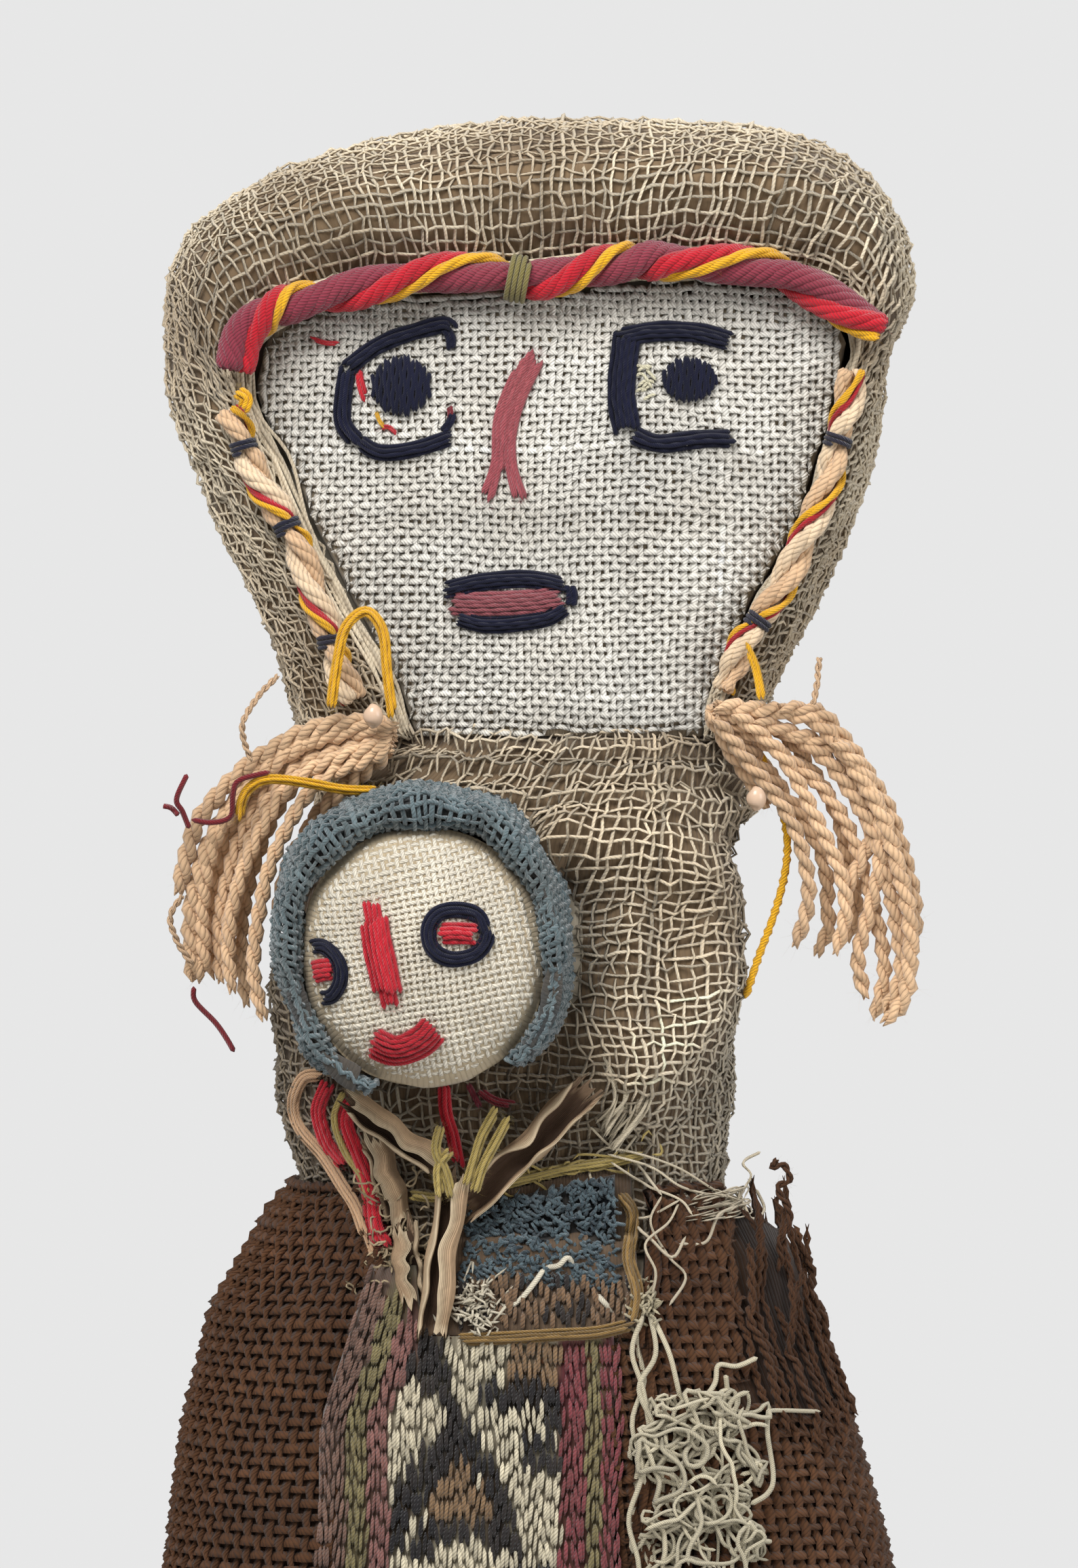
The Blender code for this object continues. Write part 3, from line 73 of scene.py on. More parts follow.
eye = bpy.data.cameras.new("camera")
eye.lens = eye.sensor_width * CAMERA_AWAY / PICTURE_HIGH
camera = bpy.data.objects.new("camera", eye)
camera.location = (AIM_X * MM, (AIM_Y - CAMERA_AWAY) * MM, AIM_Z * MM)
camera.rotation_euler = (math.pi / 2, 0.0, 0.0)
bpy.context.collection.objects.link(camera)
scene.camera = camera

# Yellow cord: the end of a two-ply yellow wool yarn that hangs free under the right tassel.
# It comes out of the tassel's root and ends in a bare tip.
CORD_RADIUS, CORD_LAY = 0.6, 2.6
CORD_ROUTE = [(29.2, -15.0, 212.4), (29.9, -14.6, 210.2), (31.0, -13.8, 207.4), (32.2, -13.2, 204.0),
              (32.6, -13.0, 200.6), (32.2, -12.8, 196.8), (30.9, -12.6, 192.0), (29.0, -12.4, 186.8),
              (27.4, -12.2, 181.8)]


def shade(*srgb):
    """A colour seen in the photograph, 0 to 255, as the linear colour a material wants."""
    share = np.array(srgb, float) / 255.0
    return np.where(share < 0.04045, share / 12.92, ((share + 0.055) / 1.055) ** 2.4)


def run_of(paths):
    """Distance along each path at each of its points, from 0."""
    steps = np.linalg.norm(np.diff(paths, axis=-2), axis=-1)
    return np.concatenate([np.zeros(steps.shape[:-1] + (1,)), np.cumsum(steps, axis=-1)], axis=-1)


def flow(points, count):
    """Evenly spaced points along a smooth curve through the given ones."""
    given = np.array(points, float)
    ends = np.vstack([2 * given[:1] - given[1:2], given, 2 * given[-1:] - given[-2:-1]])
    t = np.linspace(0, 1, 12, endpoint=False)[:, None]
    dense = [b + 0.5 * t * (c - a + t * (2 * a - 5 * b + 4 * c - d + t * (3 * (b - c) + d - a)))
             for a, b, c, d in zip(ends, ends[1:], ends[2:], ends[3:])]
    dense = np.vstack(dense + [ends[-2:-1]])
    run = run_of(dense)
    return np.column_stack([np.interp(np.linspace(0, run[-1], count), run, column) for column in dense.T])


def unit(vectors):
    return vectors / np.maximum(np.linalg.norm(vectors, axis=-1, keepdims=True), 1e-9)


def carried_frames(paths):
    """Side and up vectors carried along each of several paths of equal count, with the least turning."""
    tangent = unit(np.gradient(paths, axis=1))
    up = np.tile(np.array([0.0, -1.0, 0.0]), (len(paths), 1))
    steep = np.abs(tangent[:, 0, 1]) > 0.9
    up[steep] = (1.0, 0.0, 0.0)
    sides, ups = [], []
    for step in range(paths.shape[1]):
        side = unit(np.cross(tangent[:, step], up))
        up = np.cross(side, tangent[:, step])
        sides.append(side)
        ups.append(up)
    return np.stack(sides, axis=1), np.stack(ups, axis=1)


def wound(path, reach, turn):
    """A path that winds round another one."""
    side, up = carried_frames(path[None])
    return path + np.reshape(reach, (-1, 1)) * (np.cos(turn)[:, None] * side[0] + np.sin(turn)[:, None] * up[0])


class Skeins:
    """Gathers tubes and patches, in millimetres, then makes them one piece in metres."""

    TIP = 0.15

    def __init__(self):
        self.points, self.faces, self.tints, self.runs, self.total = [], [], [], [], 0

    def add(self, points, quads, corners, tints):
        self.points.append(points.reshape(-1, 3))
        self.faces.append(quads.reshape(-1, 4))
        self.runs.append(corners.reshape(-1, 4, 2).astype(float))
        self.tints.append(np.clip(tints, 0, 1).reshape(-1, 3))
        self.total += len(self.points[-1])

    def rings(self, rings, tints, along):
        """Tubes: rings is (tubes, steps, sides, 3); along is the distance of each step in mm."""
        tubes, steps, sides = rings.shape[:3]
        middle = rings.mean(axis=2, keepdims=True)
        rings = rings.copy()
        for end in (0, -1):
            rings[:, end] = middle[:, end] + (rings[:, end] - middle[:, end]) * self.TIP
        number = np.arange(tubes * steps * sides).reshape(tubes, steps, sides) + self.total
        ahead = np.roll(number, -1, axis=2)
        quads = np.stack([number[:, :-1], number[:, 1:], ahead[:, 1:], ahead[:, :-1]], axis=-1)
        around = np.arange(sides) / sides
        u = np.broadcast_to(around, (tubes, steps - 1, sides))
        v = np.broadcast_to(along[:, :, None], (tubes, steps, sides))
        corner = np.stack([np.stack([u, v[:, :-1]], -1), np.stack([u, v[:, 1:]], -1),
                           np.stack([u + 1 / sides, v[:, 1:]], -1),
                           np.stack([u + 1 / sides, v[:, :-1]], -1)], axis=3)
        tints = np.asarray(tints, float)
        if tints.ndim == 1:
            tints = np.tile(tints, (tubes, 1))
        if tints.ndim == 2:
            tints = np.repeat(tints[:, None, :], steps, axis=1)
        self.add(rings, quads, corner, np.repeat(tints[:, :, None, :], sides, axis=2))

    def tubes(self, paths, radius, tints, sides=5, flat=1.0, normals=None):
        """Round yarns along several paths of equal count; radius may change from point to point."""
        paths = np.asarray(paths, float)
        if paths.ndim == 2:
            paths = paths[None]
        if normals is None:
            side, up = carried_frames(paths)
        else:
            tangent = unit(np.gradient(paths, axis=1))
            side = unit(np.cross(tangent, normals))
            up = np.cross(side, tangent)
        radius = np.broadcast_to(np.asarray(radius, float), paths.shape[:2])[..., None, None]
        angle = (np.arange(sides) + 0.5) * 2 * math.pi / sides
        spokes = (np.cos(angle)[:, None] * side[:, :, None] + flat * np.sin(angle)[:, None] * up[:, :, None])
        self.rings(paths[:, :, None] + radius * spokes, tints, run_of(paths))

    def patch(self, grid, tints, scale=1.0, around=False):
        """One side of a cloth: grid is (columns, rows, 3), faces turned by its order."""
        columns, rows = grid.shape[:2]
        number = np.arange(columns * rows).reshape(columns, rows) + self.total
        if around:
            number = np.vstack([number, number[:1]])
        quads = np.stack([number[:-1, :-1], number[1:, :-1], number[1:, 1:], number[:-1, 1:]], axis=-1)
        i, j = np.meshgrid(np.arange(len(number) - 1), np.arange(rows - 1), indexing="ij")
        corner = np.stack([np.stack([i, j], -1), np.stack([i + 1, j], -1), np.stack([i + 1, j + 1], -1),
                           np.stack([i, j + 1], -1)], axis=2) * scale
        self.add(grid, quads, corner, np.broadcast_to(tints, grid.shape))

    def piece(self, name, material, slot_name, *stands_for):
        """Makes the piece, puts it on the one body and hides the imported parts it stands for."""
        points = np.vstack(self.points) * MM
        faces = np.vstack(self.faces).astype(np.int32)
        mesh = bpy.data.meshes.new(name)
        mesh.vertices.add(len(points))
        mesh.vertices.foreach_set("co", points.astype(np.float32).ravel())
        mesh.loops.add(faces.size)
        mesh.loops.foreach_set("vertex_index", faces.ravel())
        mesh.polygons.add(len(faces))
        mesh.polygons.foreach_set("loop_start", np.arange(0, faces.size, 4, dtype=np.int32))
        mesh.polygons.foreach_set("use_smooth", np.ones(len(faces), dtype=bool))
        run = mesh.uv_layers.new(name="run")
        run.data.foreach_set("uv", np.vstack(self.runs).astype(np.float32).ravel())
        tint = mesh.color_attributes.new(name="tint", type="FLOAT_COLOR", domain="POINT")
        colours = np.column_stack([np.vstack(self.tints), np.ones(len(points))])
        tint.data.foreach_set("color", colours.astype(np.float32).ravel())
        mesh.materials.append(material)
        mesh.update()
        mesh.validate()
        made = bpy.data.objects.new(name, mesh)
        bpy.context.collection.objects.link(made)
        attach(made, "root")
        if stands_for:
            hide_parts(*stands_for)
        self.__init__()
        return made


def socket(tree, name, kind, where, value=None):
    """A named socket of a shader node group, FLOAT or COLOR, at its INPUT or OUTPUT side."""
    made = tree.interface.new_socket(name=name, in_out=where, socket_type="NodeSocket" + kind)
    if value is not None:
        made.default_value = value


def shader(tree, kind, inputs, **settings):
    """A shader node, each of whose inputs takes a value or the socket that feeds it."""
    made = tree.nodes.new("ShaderNode" + kind)
    for name, value in settings.items():
        setattr(made, name, value)
    for place, value in inputs.items():
        if isinstance(value, bpy.types.NodeSocket):
            tree.links.new(value, made.inputs[place])
        elif value is not None:
            made.inputs[place].default_value = value
    return made


def yarn_fibres_group():
    """Height and shadow of spun fibres that wind round a yarn, from its own run and girth."""
    tree = bpy.data.node_groups.new("Yarn fibres", "ShaderNodeTree")
    socket(tree, "Plies", "Float", "INPUT", 2.0)
    socket(tree, "Twist per mm", "Float", "INPUT", 0.3)
    socket(tree, "Height", "Float", "OUTPUT")
    socket(tree, "Groove", "Float", "OUTPUT")
    given = tree.nodes.new("NodeGroupInput")
    result = tree.nodes.new("NodeGroupOutput")
    run = shader(tree, "UVMap", {}, uv_map="run").outputs["UV"]
    girth, length = shader(tree, "SeparateXYZ", {0: run}).outputs[:2]

    def calculate(kind, first, second=None, third=None):
        return shader(tree, "Math", {0: first, 1: second, 2: third}, operation=kind).outputs[0]

    turned = calculate("MULTIPLY_ADD", length, given.outputs["Twist per mm"], girth)
    wave = calculate("SINE", calculate("MULTIPLY", calculate("MULTIPLY", turned, given.outputs["Plies"]), 2 * math.pi))
    ply = calculate("POWER", calculate("ABSOLUTE", wave), 0.6)
    place = shader(tree, "CombineXYZ", {0: calculate("MULTIPLY", turned, 26.0), 1: calculate("MULTIPLY", length, 0.7)})
    fibre = shader(tree, "TexNoise", {"Scale": 1.0, "Detail": 3.0, "Vector": place.outputs[0]}).outputs["Fac"]
    height = calculate("MULTIPLY_ADD", ply, 0.6, calculate("MULTIPLY", fibre, 0.5))
    hollow = calculate("SUBTRACT", 1.0, calculate("MULTIPLY_ADD", ply, 0.55, calculate("MULTIPLY", fibre, 0.6)))
    tree.links.new(height, result.inputs["Height"])
    tree.links.new(calculate("MAXIMUM", hollow, 0.0), result.inputs["Groove"])
    return tree


def age_group():
    """Uneven fading and ingrained dust: takes a cloth's colour and gives it aged."""
    tree = bpy.data.node_groups.new("Age and dust", "ShaderNodeTree")
    socket(tree, "Color", "Color", "INPUT", (0.5, 0.5, 0.5, 1.0))
    socket(tree, "Dust", "Color", "INPUT", (0.25, 0.20, 0.14, 1.0))
    socket(tree, "Amount", "Float", "INPUT", 0.3)
    socket(tree, "Spot size", "Float", "INPUT", 60.0)
    socket(tree, "Color", "Color", "OUTPUT")
    socket(tree, "Mask", "Float", "OUTPUT")
    given = tree.nodes.new("NodeGroupInput").outputs
    result = tree.nodes.new("NodeGroupOutput")
    where = shader(tree, "TexCoord", {}).outputs["Object"]
    spots = shader(tree, "TexNoise", {"Detail": 5.0, "Roughness": 0.65, "Vector": where, "Scale": given["Spot size"]})
    patches = shader(tree, "MapRange", {"From Min": 0.40, "From Max": 0.68, "Value": spots.outputs["Fac"]})
    share = shader(tree, "Math", {0: patches.outputs["Result"], 1: given["Amount"]}, operation="MULTIPLY").outputs[0]
    dusted = shader(tree, "Mix", {}, data_type="RGBA")
    for place, feed in (("Factor", share), (6, given["Color"]), (7, given["Dust"])):
        tree.links.new(feed, dusted.inputs[place])
    tree.links.new(dusted.outputs[2], result.inputs["Color"])
    tree.links.new(share, result.inputs["Mask"])
    return tree


YARN_FIBRES = yarn_fibres_group()
AGE = age_group()


def fibre_material(name, plies=2.0, twist=0.3, depth=0.00025, ply_shade=0.55, dust=0.2, dust_colour=(120, 100, 75),
                   spots=60.0, roughness=0.92, sheen=0.25, plain=None):
    """Spun yarn or thread: its tint with painted shade between the plies, aged, with the twist as bump.

    A piece that has no tint of its own takes one plain colour instead."""
    material = bpy.data.materials.new(name)
    material.use_nodes = True
    tree = material.node_tree
    surface = tree.nodes["Principled BSDF"]
    for name, value in (("Roughness", roughness), ("Sheen Weight", sheen), ("Sheen Roughness", 0.5),
                        ("Specular IOR Level", 0.2)):
        surface.inputs[name].default_value = value
    fibres = shader(tree, "Group", {}, node_tree=YARN_FIBRES)
    fibres.inputs["Plies"].default_value = plies
    fibres.inputs["Twist per mm"].default_value = twist
    # Painted shade: the tint is multiplied darker in the hollows between the plies.
    darker = shader(tree, "Mix", {}, data_type="RGBA", blend_type="MULTIPLY")
    darker.inputs[7].default_value = (ply_shade, ply_shade * 0.95, ply_shade * 0.88, 1.0)
    tree.links.new(fibres.outputs["Groove"], darker.inputs["Factor"])
    if plain is None:
        own = shader(tree, "VertexColor", {}, layer_name="tint")
        tree.links.new(own.outputs["Color"], darker.inputs[6])
    else:
        darker.inputs[6].default_value = (*plain, 1.0)
    aged = shader(tree, "Group", {}, node_tree=AGE)
    aged.inputs["Dust"].default_value = (*shade(*dust_colour), 1.0)
    aged.inputs["Amount"].default_value = dust
    aged.inputs["Spot size"].default_value = spots
    tree.links.new(darker.outputs[2], aged.inputs["Color"])
    bump = shader(tree, "Bump", {"Distance": depth, "Strength": 0.8, "Height": fibres.outputs["Height"]})
    tree.links.new(aged.outputs["Color"], surface.inputs["Base Color"])
    tree.links.new(bump.outputs["Normal"], surface.inputs["Normal"])
    return material


wool = fibre_material("Spun wool", plies=3.0, twist=0.35, dust=0.08)

YELLOW = shade(236, 176, 22)
cord_path = flow(CORD_ROUTE, 60)
# Its section is lobed by the two plies and turns along it
cord_side, cord_up = carried_frames(cord_path[None])
around = np.arange(8) * 2 * math.pi / 8
reach = CORD_RADIUS * (0.78 + 0.22 * np.cos(2 * (around - 2 * math.pi * run_of(cord_path)[:, None] / CORD_LAY)))
spokes = np.cos(around)[:, None] * cord_side[0][:, None] + np.sin(around)[:, None] * cord_up[0][:, None]
skeins = Skeins()
skeins.rings((cord_path[:, None] + reach[..., None] * spokes)[None], YELLOW, run_of(cord_path)[None])
yellow_cord = skeins.piece("yellow_cord_yarn", wool, "yellow_yarn", "yellow_cord")

# Face: white plain-woven cotton stretched over the front of the head, its edge under the hood.
# A thin backing sheet, painted darker as the shade between the threads, carries the spun warp and
# weft, which are laid over and under each other.
HEAD_BASE, HEAD_HIGH, HEAD_WIDE, HEAD_SHIFT = 214.2, 75.8, 93.6, 2.4
FACE_OUTLINE = np.array([
    (-0.335, 0.0), (-0.39, 0.10), (-0.50, 0.22), (-0.615, 0.363), (-0.669, 0.449),
    (-0.724, 0.507), (-0.757, 0.563), (-0.725, 0.65), (-0.444, 0.71), (-0.028, 0.72),
    (0.446, 0.743), (0.70, 0.72), (0.80, 0.64), (0.761, 0.529), (0.66, 0.334),
    (0.56, 0.23), (0.506, 0.162), (0.45, 0.08), (0.42, 0.0)])
FACE_PITCH, FACE_DEEP, FACE_CROWN = 0.98, 13.0, 5.0
FACE_WHITE, FACE_GAP_SHADE = shade(240, 237, 228), shade(172, 158, 136)


def on_head(shares):
    shares = np.asarray(shares, float)
    return np.stack([HEAD_SHIFT + shares[..., 0] * HEAD_WIDE / 2, HEAD_BASE + shares[..., 1] * HEAD_HIGH], -1)


def picture(*places):
    """Places seen in the photograph, in its pixels, as x and z in millimetres."""
    return [((x - PICTURE_MIDDLE) / PIXELS_PER_MM, PICTURE_TOP - y / PIXELS_PER_MM) for x, y in places]


def laid(flat, surface, lift=0.0):
    """Places given by x and z, put on a surface seen from the front or lifted off it."""
    x, z = flat[..., 0], flat[..., 1]
    return np.stack([x, surface(x, z) - lift, z], -1)


def at_depth(y):
    """A surface square to the view."""
    return lambda x, z: np.full(np.shape(x), y)


def face_front(x, z):
    """Depth of the face cloth: crowned across, flatter at its top and bottom."""
    up = np.clip((z - HEAD_BASE) / HEAD_HIGH, 0.0, 0.72)
    left, right = FACE_OUTLINE[:8], FACE_OUTLINE[:11:-1]
    start = np.interp(up, left[:, 1], left[:, 0])
    stop = np.interp(up, right[:, 1], right[:, 0])
    across = (x - HEAD_SHIFT) / (HEAD_WIDE / 2)
    share = np.clip(np.abs(2 * across - start - stop) / (stop - start), 0.0, 1.0)
    swell = 0.65 + 0.35 * np.sin(math.pi * (0.12 + 0.88 * up / 0.72))
    return -FACE_DEEP - FACE_CROWN * swell * (1 - share ** 2) ** 0.75


def outward_of(grid, around=False):
    """Directions square to a grid of places, turned away from its middle."""
    if around:
        across = np.roll(grid, -1, 0) - np.roll(grid, 1, 0)
    else:
        across = np.gradient(grid, axis=0)
    square = unit(np.cross(across, np.gradient(grid, axis=1)))
    middle = grid.reshape(-1, 3).mean(axis=0)
    if (square * (grid - middle)).sum() < 0:
        square = -square
    return square


def slow_noise(x, y, size, seed):
    """Smooth waves over a cloth, between about -1 and 1."""
    draw = np.random.default_rng(seed)
    total = np.zeros(np.broadcast(x, y).shape)
    for _ in range(5):
        angle, phase, stretch = draw.uniform(0, 2 * math.pi), draw.uniform(0, 6.28), draw.uniform(0.6, 1.7)
        total += np.sin((x * math.cos(angle) + y * math.sin(angle)) * stretch * 6.28 / size + phase)
    return total / 2.6


def lay_threads(where, outward, high, radius, tint, inside=None, sides=4, flat=0.7, halfway=True,
                spread=0.08, seed=1):
    """Warp and weft laid over and under each other through a grid of crossing places."""
    draw = np.random.default_rng(seed)
    columns, rows = where.shape[:2]
    if inside is None:
        inside = np.ones((columns, rows), bool)
    tint = np.broadcast_to(tint, where.shape)
    over = np.where((np.arange(columns)[:, None] + np.arange(rows)[None]) % 2 == 0, high, -high)
    for turn in (1, -1):
        if turn < 0:
            where, outward = where.transpose(1, 0, 2), outward.transpose(1, 0, 2)
            inside, over, tint = inside.T, over.T, tint.transpose(1, 0, 2)
        for line in range(len(where)):
            flags = np.concatenate([[0], inside[line].astype(int), [0]])
            starts, stops = np.where(np.diff(flags) == 1)[0], np.where(np.diff(flags) == -1)[0]
            for start, stop in zip(starts, stops):
                if stop - start < 4:
                    continue
                base, square = where[line, start:stop], outward[line, start:stop]
                raised = base + square * (turn * over[line, start:stop])[:, None]
                colour = tint[line, start:stop] * (1 + draw.normal(0, spread))
                if halfway:
                    path = np.empty((2 * len(base) - 1, 3))
                    path[::2], path[1::2] = raised, (base[1:] + base[:-1]) / 2
                    facing = np.repeat(square, 2, axis=0)[:-1]
                    colour = np.repeat(colour, 2, axis=0)[:-1]
                else:
                    path, facing = raised, square
                girth = radius * (1 + draw.normal(0, 0.10)) * (1 + draw.normal(0, 0.07, len(path)))
                skeins.tubes(path, girth, colour[None], sides, flat, facing)


def thicken(piece, wall):
    """Gives a backing sheet its thickness, inward."""
    solidify = piece.modifiers.new("Thickness", "SOLIDIFY")
    solidify.thickness = wall * MM
    solidify.offset = -1.0
    return piece


face_thread = fibre_material("Face cotton", plies=2.0, twist=0.5, dust=0.22, dust_colour=(150, 132, 105), spots=90.0)
backing = fibre_material("Cloth backing", plies=1.0, twist=0.0, dust=0.35, ply_shade=0.8)

face_edge = flow(on_head(FACE_OUTLINE), 120)
face_columns = np.arange(-36.0, 42.0, FACE_PITCH)
face_rows = np.arange(HEAD_BASE - 1.0, HEAD_BASE + 60.0, FACE_PITCH)
gx, gz = np.meshgrid(face_columns, face_rows, indexing="ij")
fx = gx + 0.55 * slow_noise(gx, gz, 42, 3) + 0.10 * slow_noise(gx, gz, 5, 5) + rng.normal(0, 0.09, gx.shape)
fz = gz + 0.45 * slow_noise(gx, gz, 36, 4) + 0.10 * slow_noise(gx, gz, 6, 6) + rng.normal(0, 0.09, gx.shape)
left_edge, right_edge = on_head(FACE_OUTLINE[:8]), on_head(FACE_OUTLINE[:11:-1])
top_edge = face_edge[(face_edge[:, 1] > HEAD_BASE + 0.62 * HEAD_HIGH)]
inside_face = ((fx > np.interp(fz, left_edge[:, 1], left_edge[:, 0]))
               & (fx < np.interp(fz, right_edge[:, 1], right_edge[:, 0]))
               & (fz > HEAD_BASE) & (fz < np.interp(fx, top_edge[:, 0], top_edge[:, 1])))
face_grid = laid(np.stack([fx, fz], -1), face_front)
face_out = outward_of(face_grid)
face_out[face_out[..., 1] > 0] *= -1
worn = np.clip(0.92 + 0.10 * slow_noise(gx, gz, 26, 8), 0.72, 1.05)
worn = worn * np.where((gx < -18) & (gz > 262), 0.90, 1.0)
lay_threads(face_grid, face_out, 0.27, 0.48, FACE_WHITE * worn[..., None], inside_face, spread=0.07,
            sides=3, flat=0.8, halfway=False, seed=11)
face_threads = skeins.piece("face_threads", face_thread, "white_cloth")

rows_between = []
for height in HEAD_BASE + np.linspace(0, 1, 40) * (0.70 * HEAD_HIGH):
    start = np.interp(height, left_edge[:, 1], left_edge[:, 0])
    stop = np.interp(height, right_edge[:, 1], right_edge[:, 0])
    line_x = np.linspace(start, stop, 48)
    line_z = np.minimum(height, np.interp(line_x, top_edge[:, 0], top_edge[:, 1]))
    rows_between.append(laid(np.column_stack([line_x, line_z]), face_front, -0.35))
# Painted shade: the backing is darker than the threads, so the gaps between them look shaded.
skeins.patch(np.array(rows_between).transpose(1, 0, 2), FACE_GAP_SHADE)
face_cloth = thicken(skeins.piece("face_backing", backing, "white_cloth", "face_cloth"), 0.6)

# Hood: one piece of open cotton gauze, padded into a thick brim over the forehead and drawn down
# beside the face to the jaw. It is gathered behind at the nape.
HOOD_OUTLINE = np.array([
    (-0.645, 0.0), (-0.716, 0.16), (-0.825, 0.31), (-0.893, 0.43), (-0.974, 0.56),
    (-1.0, 0.70), (-0.985, 0.775), (-0.89, 0.85), (-0.60, 0.94), (-0.27, 0.984),
    (0.18, 1.0), (0.635, 0.984), (0.90, 0.894), (0.992, 0.744), (0.915, 0.625),
    (0.861, 0.443), (0.737, 0.248), (0.622, 0.10), (0.553, 0.0)])
BRIM_SECTION = [(0.0, 0.72), (0.2, 0.86), (0.46, 1.02), (0.74, 0.97), (0.97, 0.46), (1.0, 0.05)]
FLAP_SECTION = [(0.0, 0.92), (0.25, 1.0), (0.5, 0.99), (0.75, 0.82), (0.95, 0.4), (1.0, 0.0)]
BACK_SECTION = [(0.10, 0.55), (0.28, 0.88), (0.60, 1.0)]
BRIM_DEEP, FLAP_DEEP, BACK_DEEP, NAPE_DEEP, NAPE_WIDE = 21.5, 14.6, 17.0, 13.0, 38.0
GAUZE_PALE, GAUZE_GREY, GAUZE_GAP_SHADE = shade(226, 212, 186), shade(176, 158, 132), shade(118, 98, 74)


def hood_grid(columns, rows):
    """Outside of the hood: from the face opening over its rim and down the back to the nape."""
    opening = flow(on_head(FACE_OUTLINE), columns)
    rim = flow(on_head(HOOD_OUTLINE), columns)
    away = opening - on_head((0.0, 0.45))
    opening = opening + unit(away) * 0.9
    opening[[0, -1], 1] = HEAD_BASE
    share = np.linspace(0, 1, columns)
    brim = np.clip((0.25 - np.abs(share - 0.5)) / 0.14, 0.0, 1.0)
    brim = brim * brim * (3 - 2 * brim)
    lines = []
    for index in range(columns):
        line = []
        for (over, deep), (beside, flat) in zip(BRIM_SECTION, FLAP_SECTION):
            reach = brim[index] * over + (1 - brim[index]) * beside
            y = -(brim[index] * deep * BRIM_DEEP + (1 - brim[index]) * flat * FLAP_DEEP)
            x, z = opening[index] + (rim[index] - opening[index]) * reach
            line.append((x, y, z))
        nape = np.array([HEAD_SHIFT + (share[index] - 0.5) * NAPE_WIDE, HEAD_BASE])
        for reach, deep in BACK_SECTION:
            x, z = rim[index] + (nape - rim[index]) * reach
            line.append((x, deep * BACK_DEEP, z))
        line.append((nape[0], NAPE_DEEP, nape[1]))
        lines.append(flow(line, rows))
    return np.array(lines)


def crossings(grid, columns, rows):
    """A grid read at evenly spaced columns and rows."""
    i, j = np.linspace(0, grid.shape[0] - 1, columns), np.linspace(0, grid.shape[1] - 1, rows)
    i0 = np.minimum(i.astype(int), grid.shape[0] - 2)
    j0 = np.minimum(j.astype(int), grid.shape[1] - 2)
    a, b = (i - i0)[:, None, None], (j - j0)[None, :, None]
    return ((1 - a) * (1 - b) * grid[i0][:, j0] + a * (1 - b) * grid[i0 + 1][:, j0]
            + (1 - a) * b * grid[i0][:, j0 + 1] + a * b * grid[i0 + 1][:, j0 + 1])


def loosen(grid, outward, amount, seed, size=9.0):
    """Moves the crossings of an open gauze along the cloth, as its threads slip."""
    draw = np.random.default_rng(seed)
    across = unit(np.gradient(grid, axis=0))
    along = unit(np.cross(outward, across))
    i, j = np.meshgrid(np.arange(grid.shape[0]), np.arange(grid.shape[1]), indexing="ij")
    slip = (slow_noise(i, j, size, seed + 1)[..., None] * across
            + slow_noise(i, j, size * 0.8, seed + 2)[..., None] * along)
    return grid + amount * (slip + draw.normal(0, 0.35, grid.shape))


gauze_thread = fibre_material("Gauze thread", plies=1.0, twist=0.8, dust=0.16, dust_colour=(140, 116, 88), spots=45.0,
                              ply_shade=0.75)

HOOD_COLUMNS, HOOD_ROWS = 97, 60
hood_form = hood_grid(HOOD_COLUMNS, HOOD_ROWS)
hood_out = outward_of(hood_form)
hi, hj = np.meshgrid(np.arange(HOOD_COLUMNS), np.arange(HOOD_ROWS), indexing="ij")
lumps = 0.45 * slow_noise(hi, hj, 22, 21) * np.sin(math.pi * np.clip(hj / 30, 0, 1))
left_ridge = 1.3 * np.exp(-((hj - 14 - 2 * np.sin(hi / 9)) / 2.2) ** 2) * np.clip((26 - hi) / 8, 0, 1)
right_ridge = 0.8 * np.exp(-((hj - 17) / 2.4) ** 2) * np.clip((hi - 74) / 8, 0, 1)
brim_roll = 0.7 * np.exp(-((hj - 20) / 4.0) ** 2) * np.clip(1 - np.abs(hi - 48) / 26, 0, 1)
hood_form = hood_form + hood_out * (lumps + left_ridge + right_ridge + brim_roll)[..., None]
hood_out = outward_of(hood_form)

# Painted shade: the backing under the gauze is dark brown and shows through the open weave as shade.
skeins.patch((hood_form - hood_out * 0.45)[::2], GAUZE_GAP_SHADE)
hood_backing = thicken(skeins.piece("hood_backing", backing, "gauze", "hood"), 0.8)

hood_cross = crossings(hood_form, 174, 70)
hood_cross_out = outward_of(hood_cross)
hood_cross = loosen(loosen(hood_cross, hood_cross_out, 0.30, 31), hood_cross_out, 0.5, 32, 31.0)
# The threads vary between grey and pale at random, and are darker towards the left in the front view: painted shade on
# that side of the hood.
pale = np.clip(0.5 + 0.5 * slow_noise(hood_cross[..., 0], hood_cross[..., 2], 30, 41) + 0.35
               - np.clip((hood_cross[..., 0] * -1 - 8) / 60, 0, 0.4), 0, 1)[..., None]
hood_tint = GAUZE_GREY * (1 - pale) + GAUZE_PALE * pale
lay_threads(hood_cross, hood_cross_out, 0.16, 0.235, hood_tint, sides=3, flat=0.9, halfway=False,
            spread=0.16, seed=51)
for number in range(9):
    edge = hood_form[:, number // 4] + hood_out[:, number // 4] * 0.3
    wave = np.stack([0.45 * slow_noise(np.arange(HOOD_COLUMNS), 0.0, 7 + number, 52 + number * 3 + k)
                     for k in range(3)], -1)
    skeins.tubes(edge + wave, 0.3, hood_tint[0, 0] * (0.75 + 0.05 * number), 4)
hood_threads = skeins.piece("hood_threads", gauze_thread, "gauze")

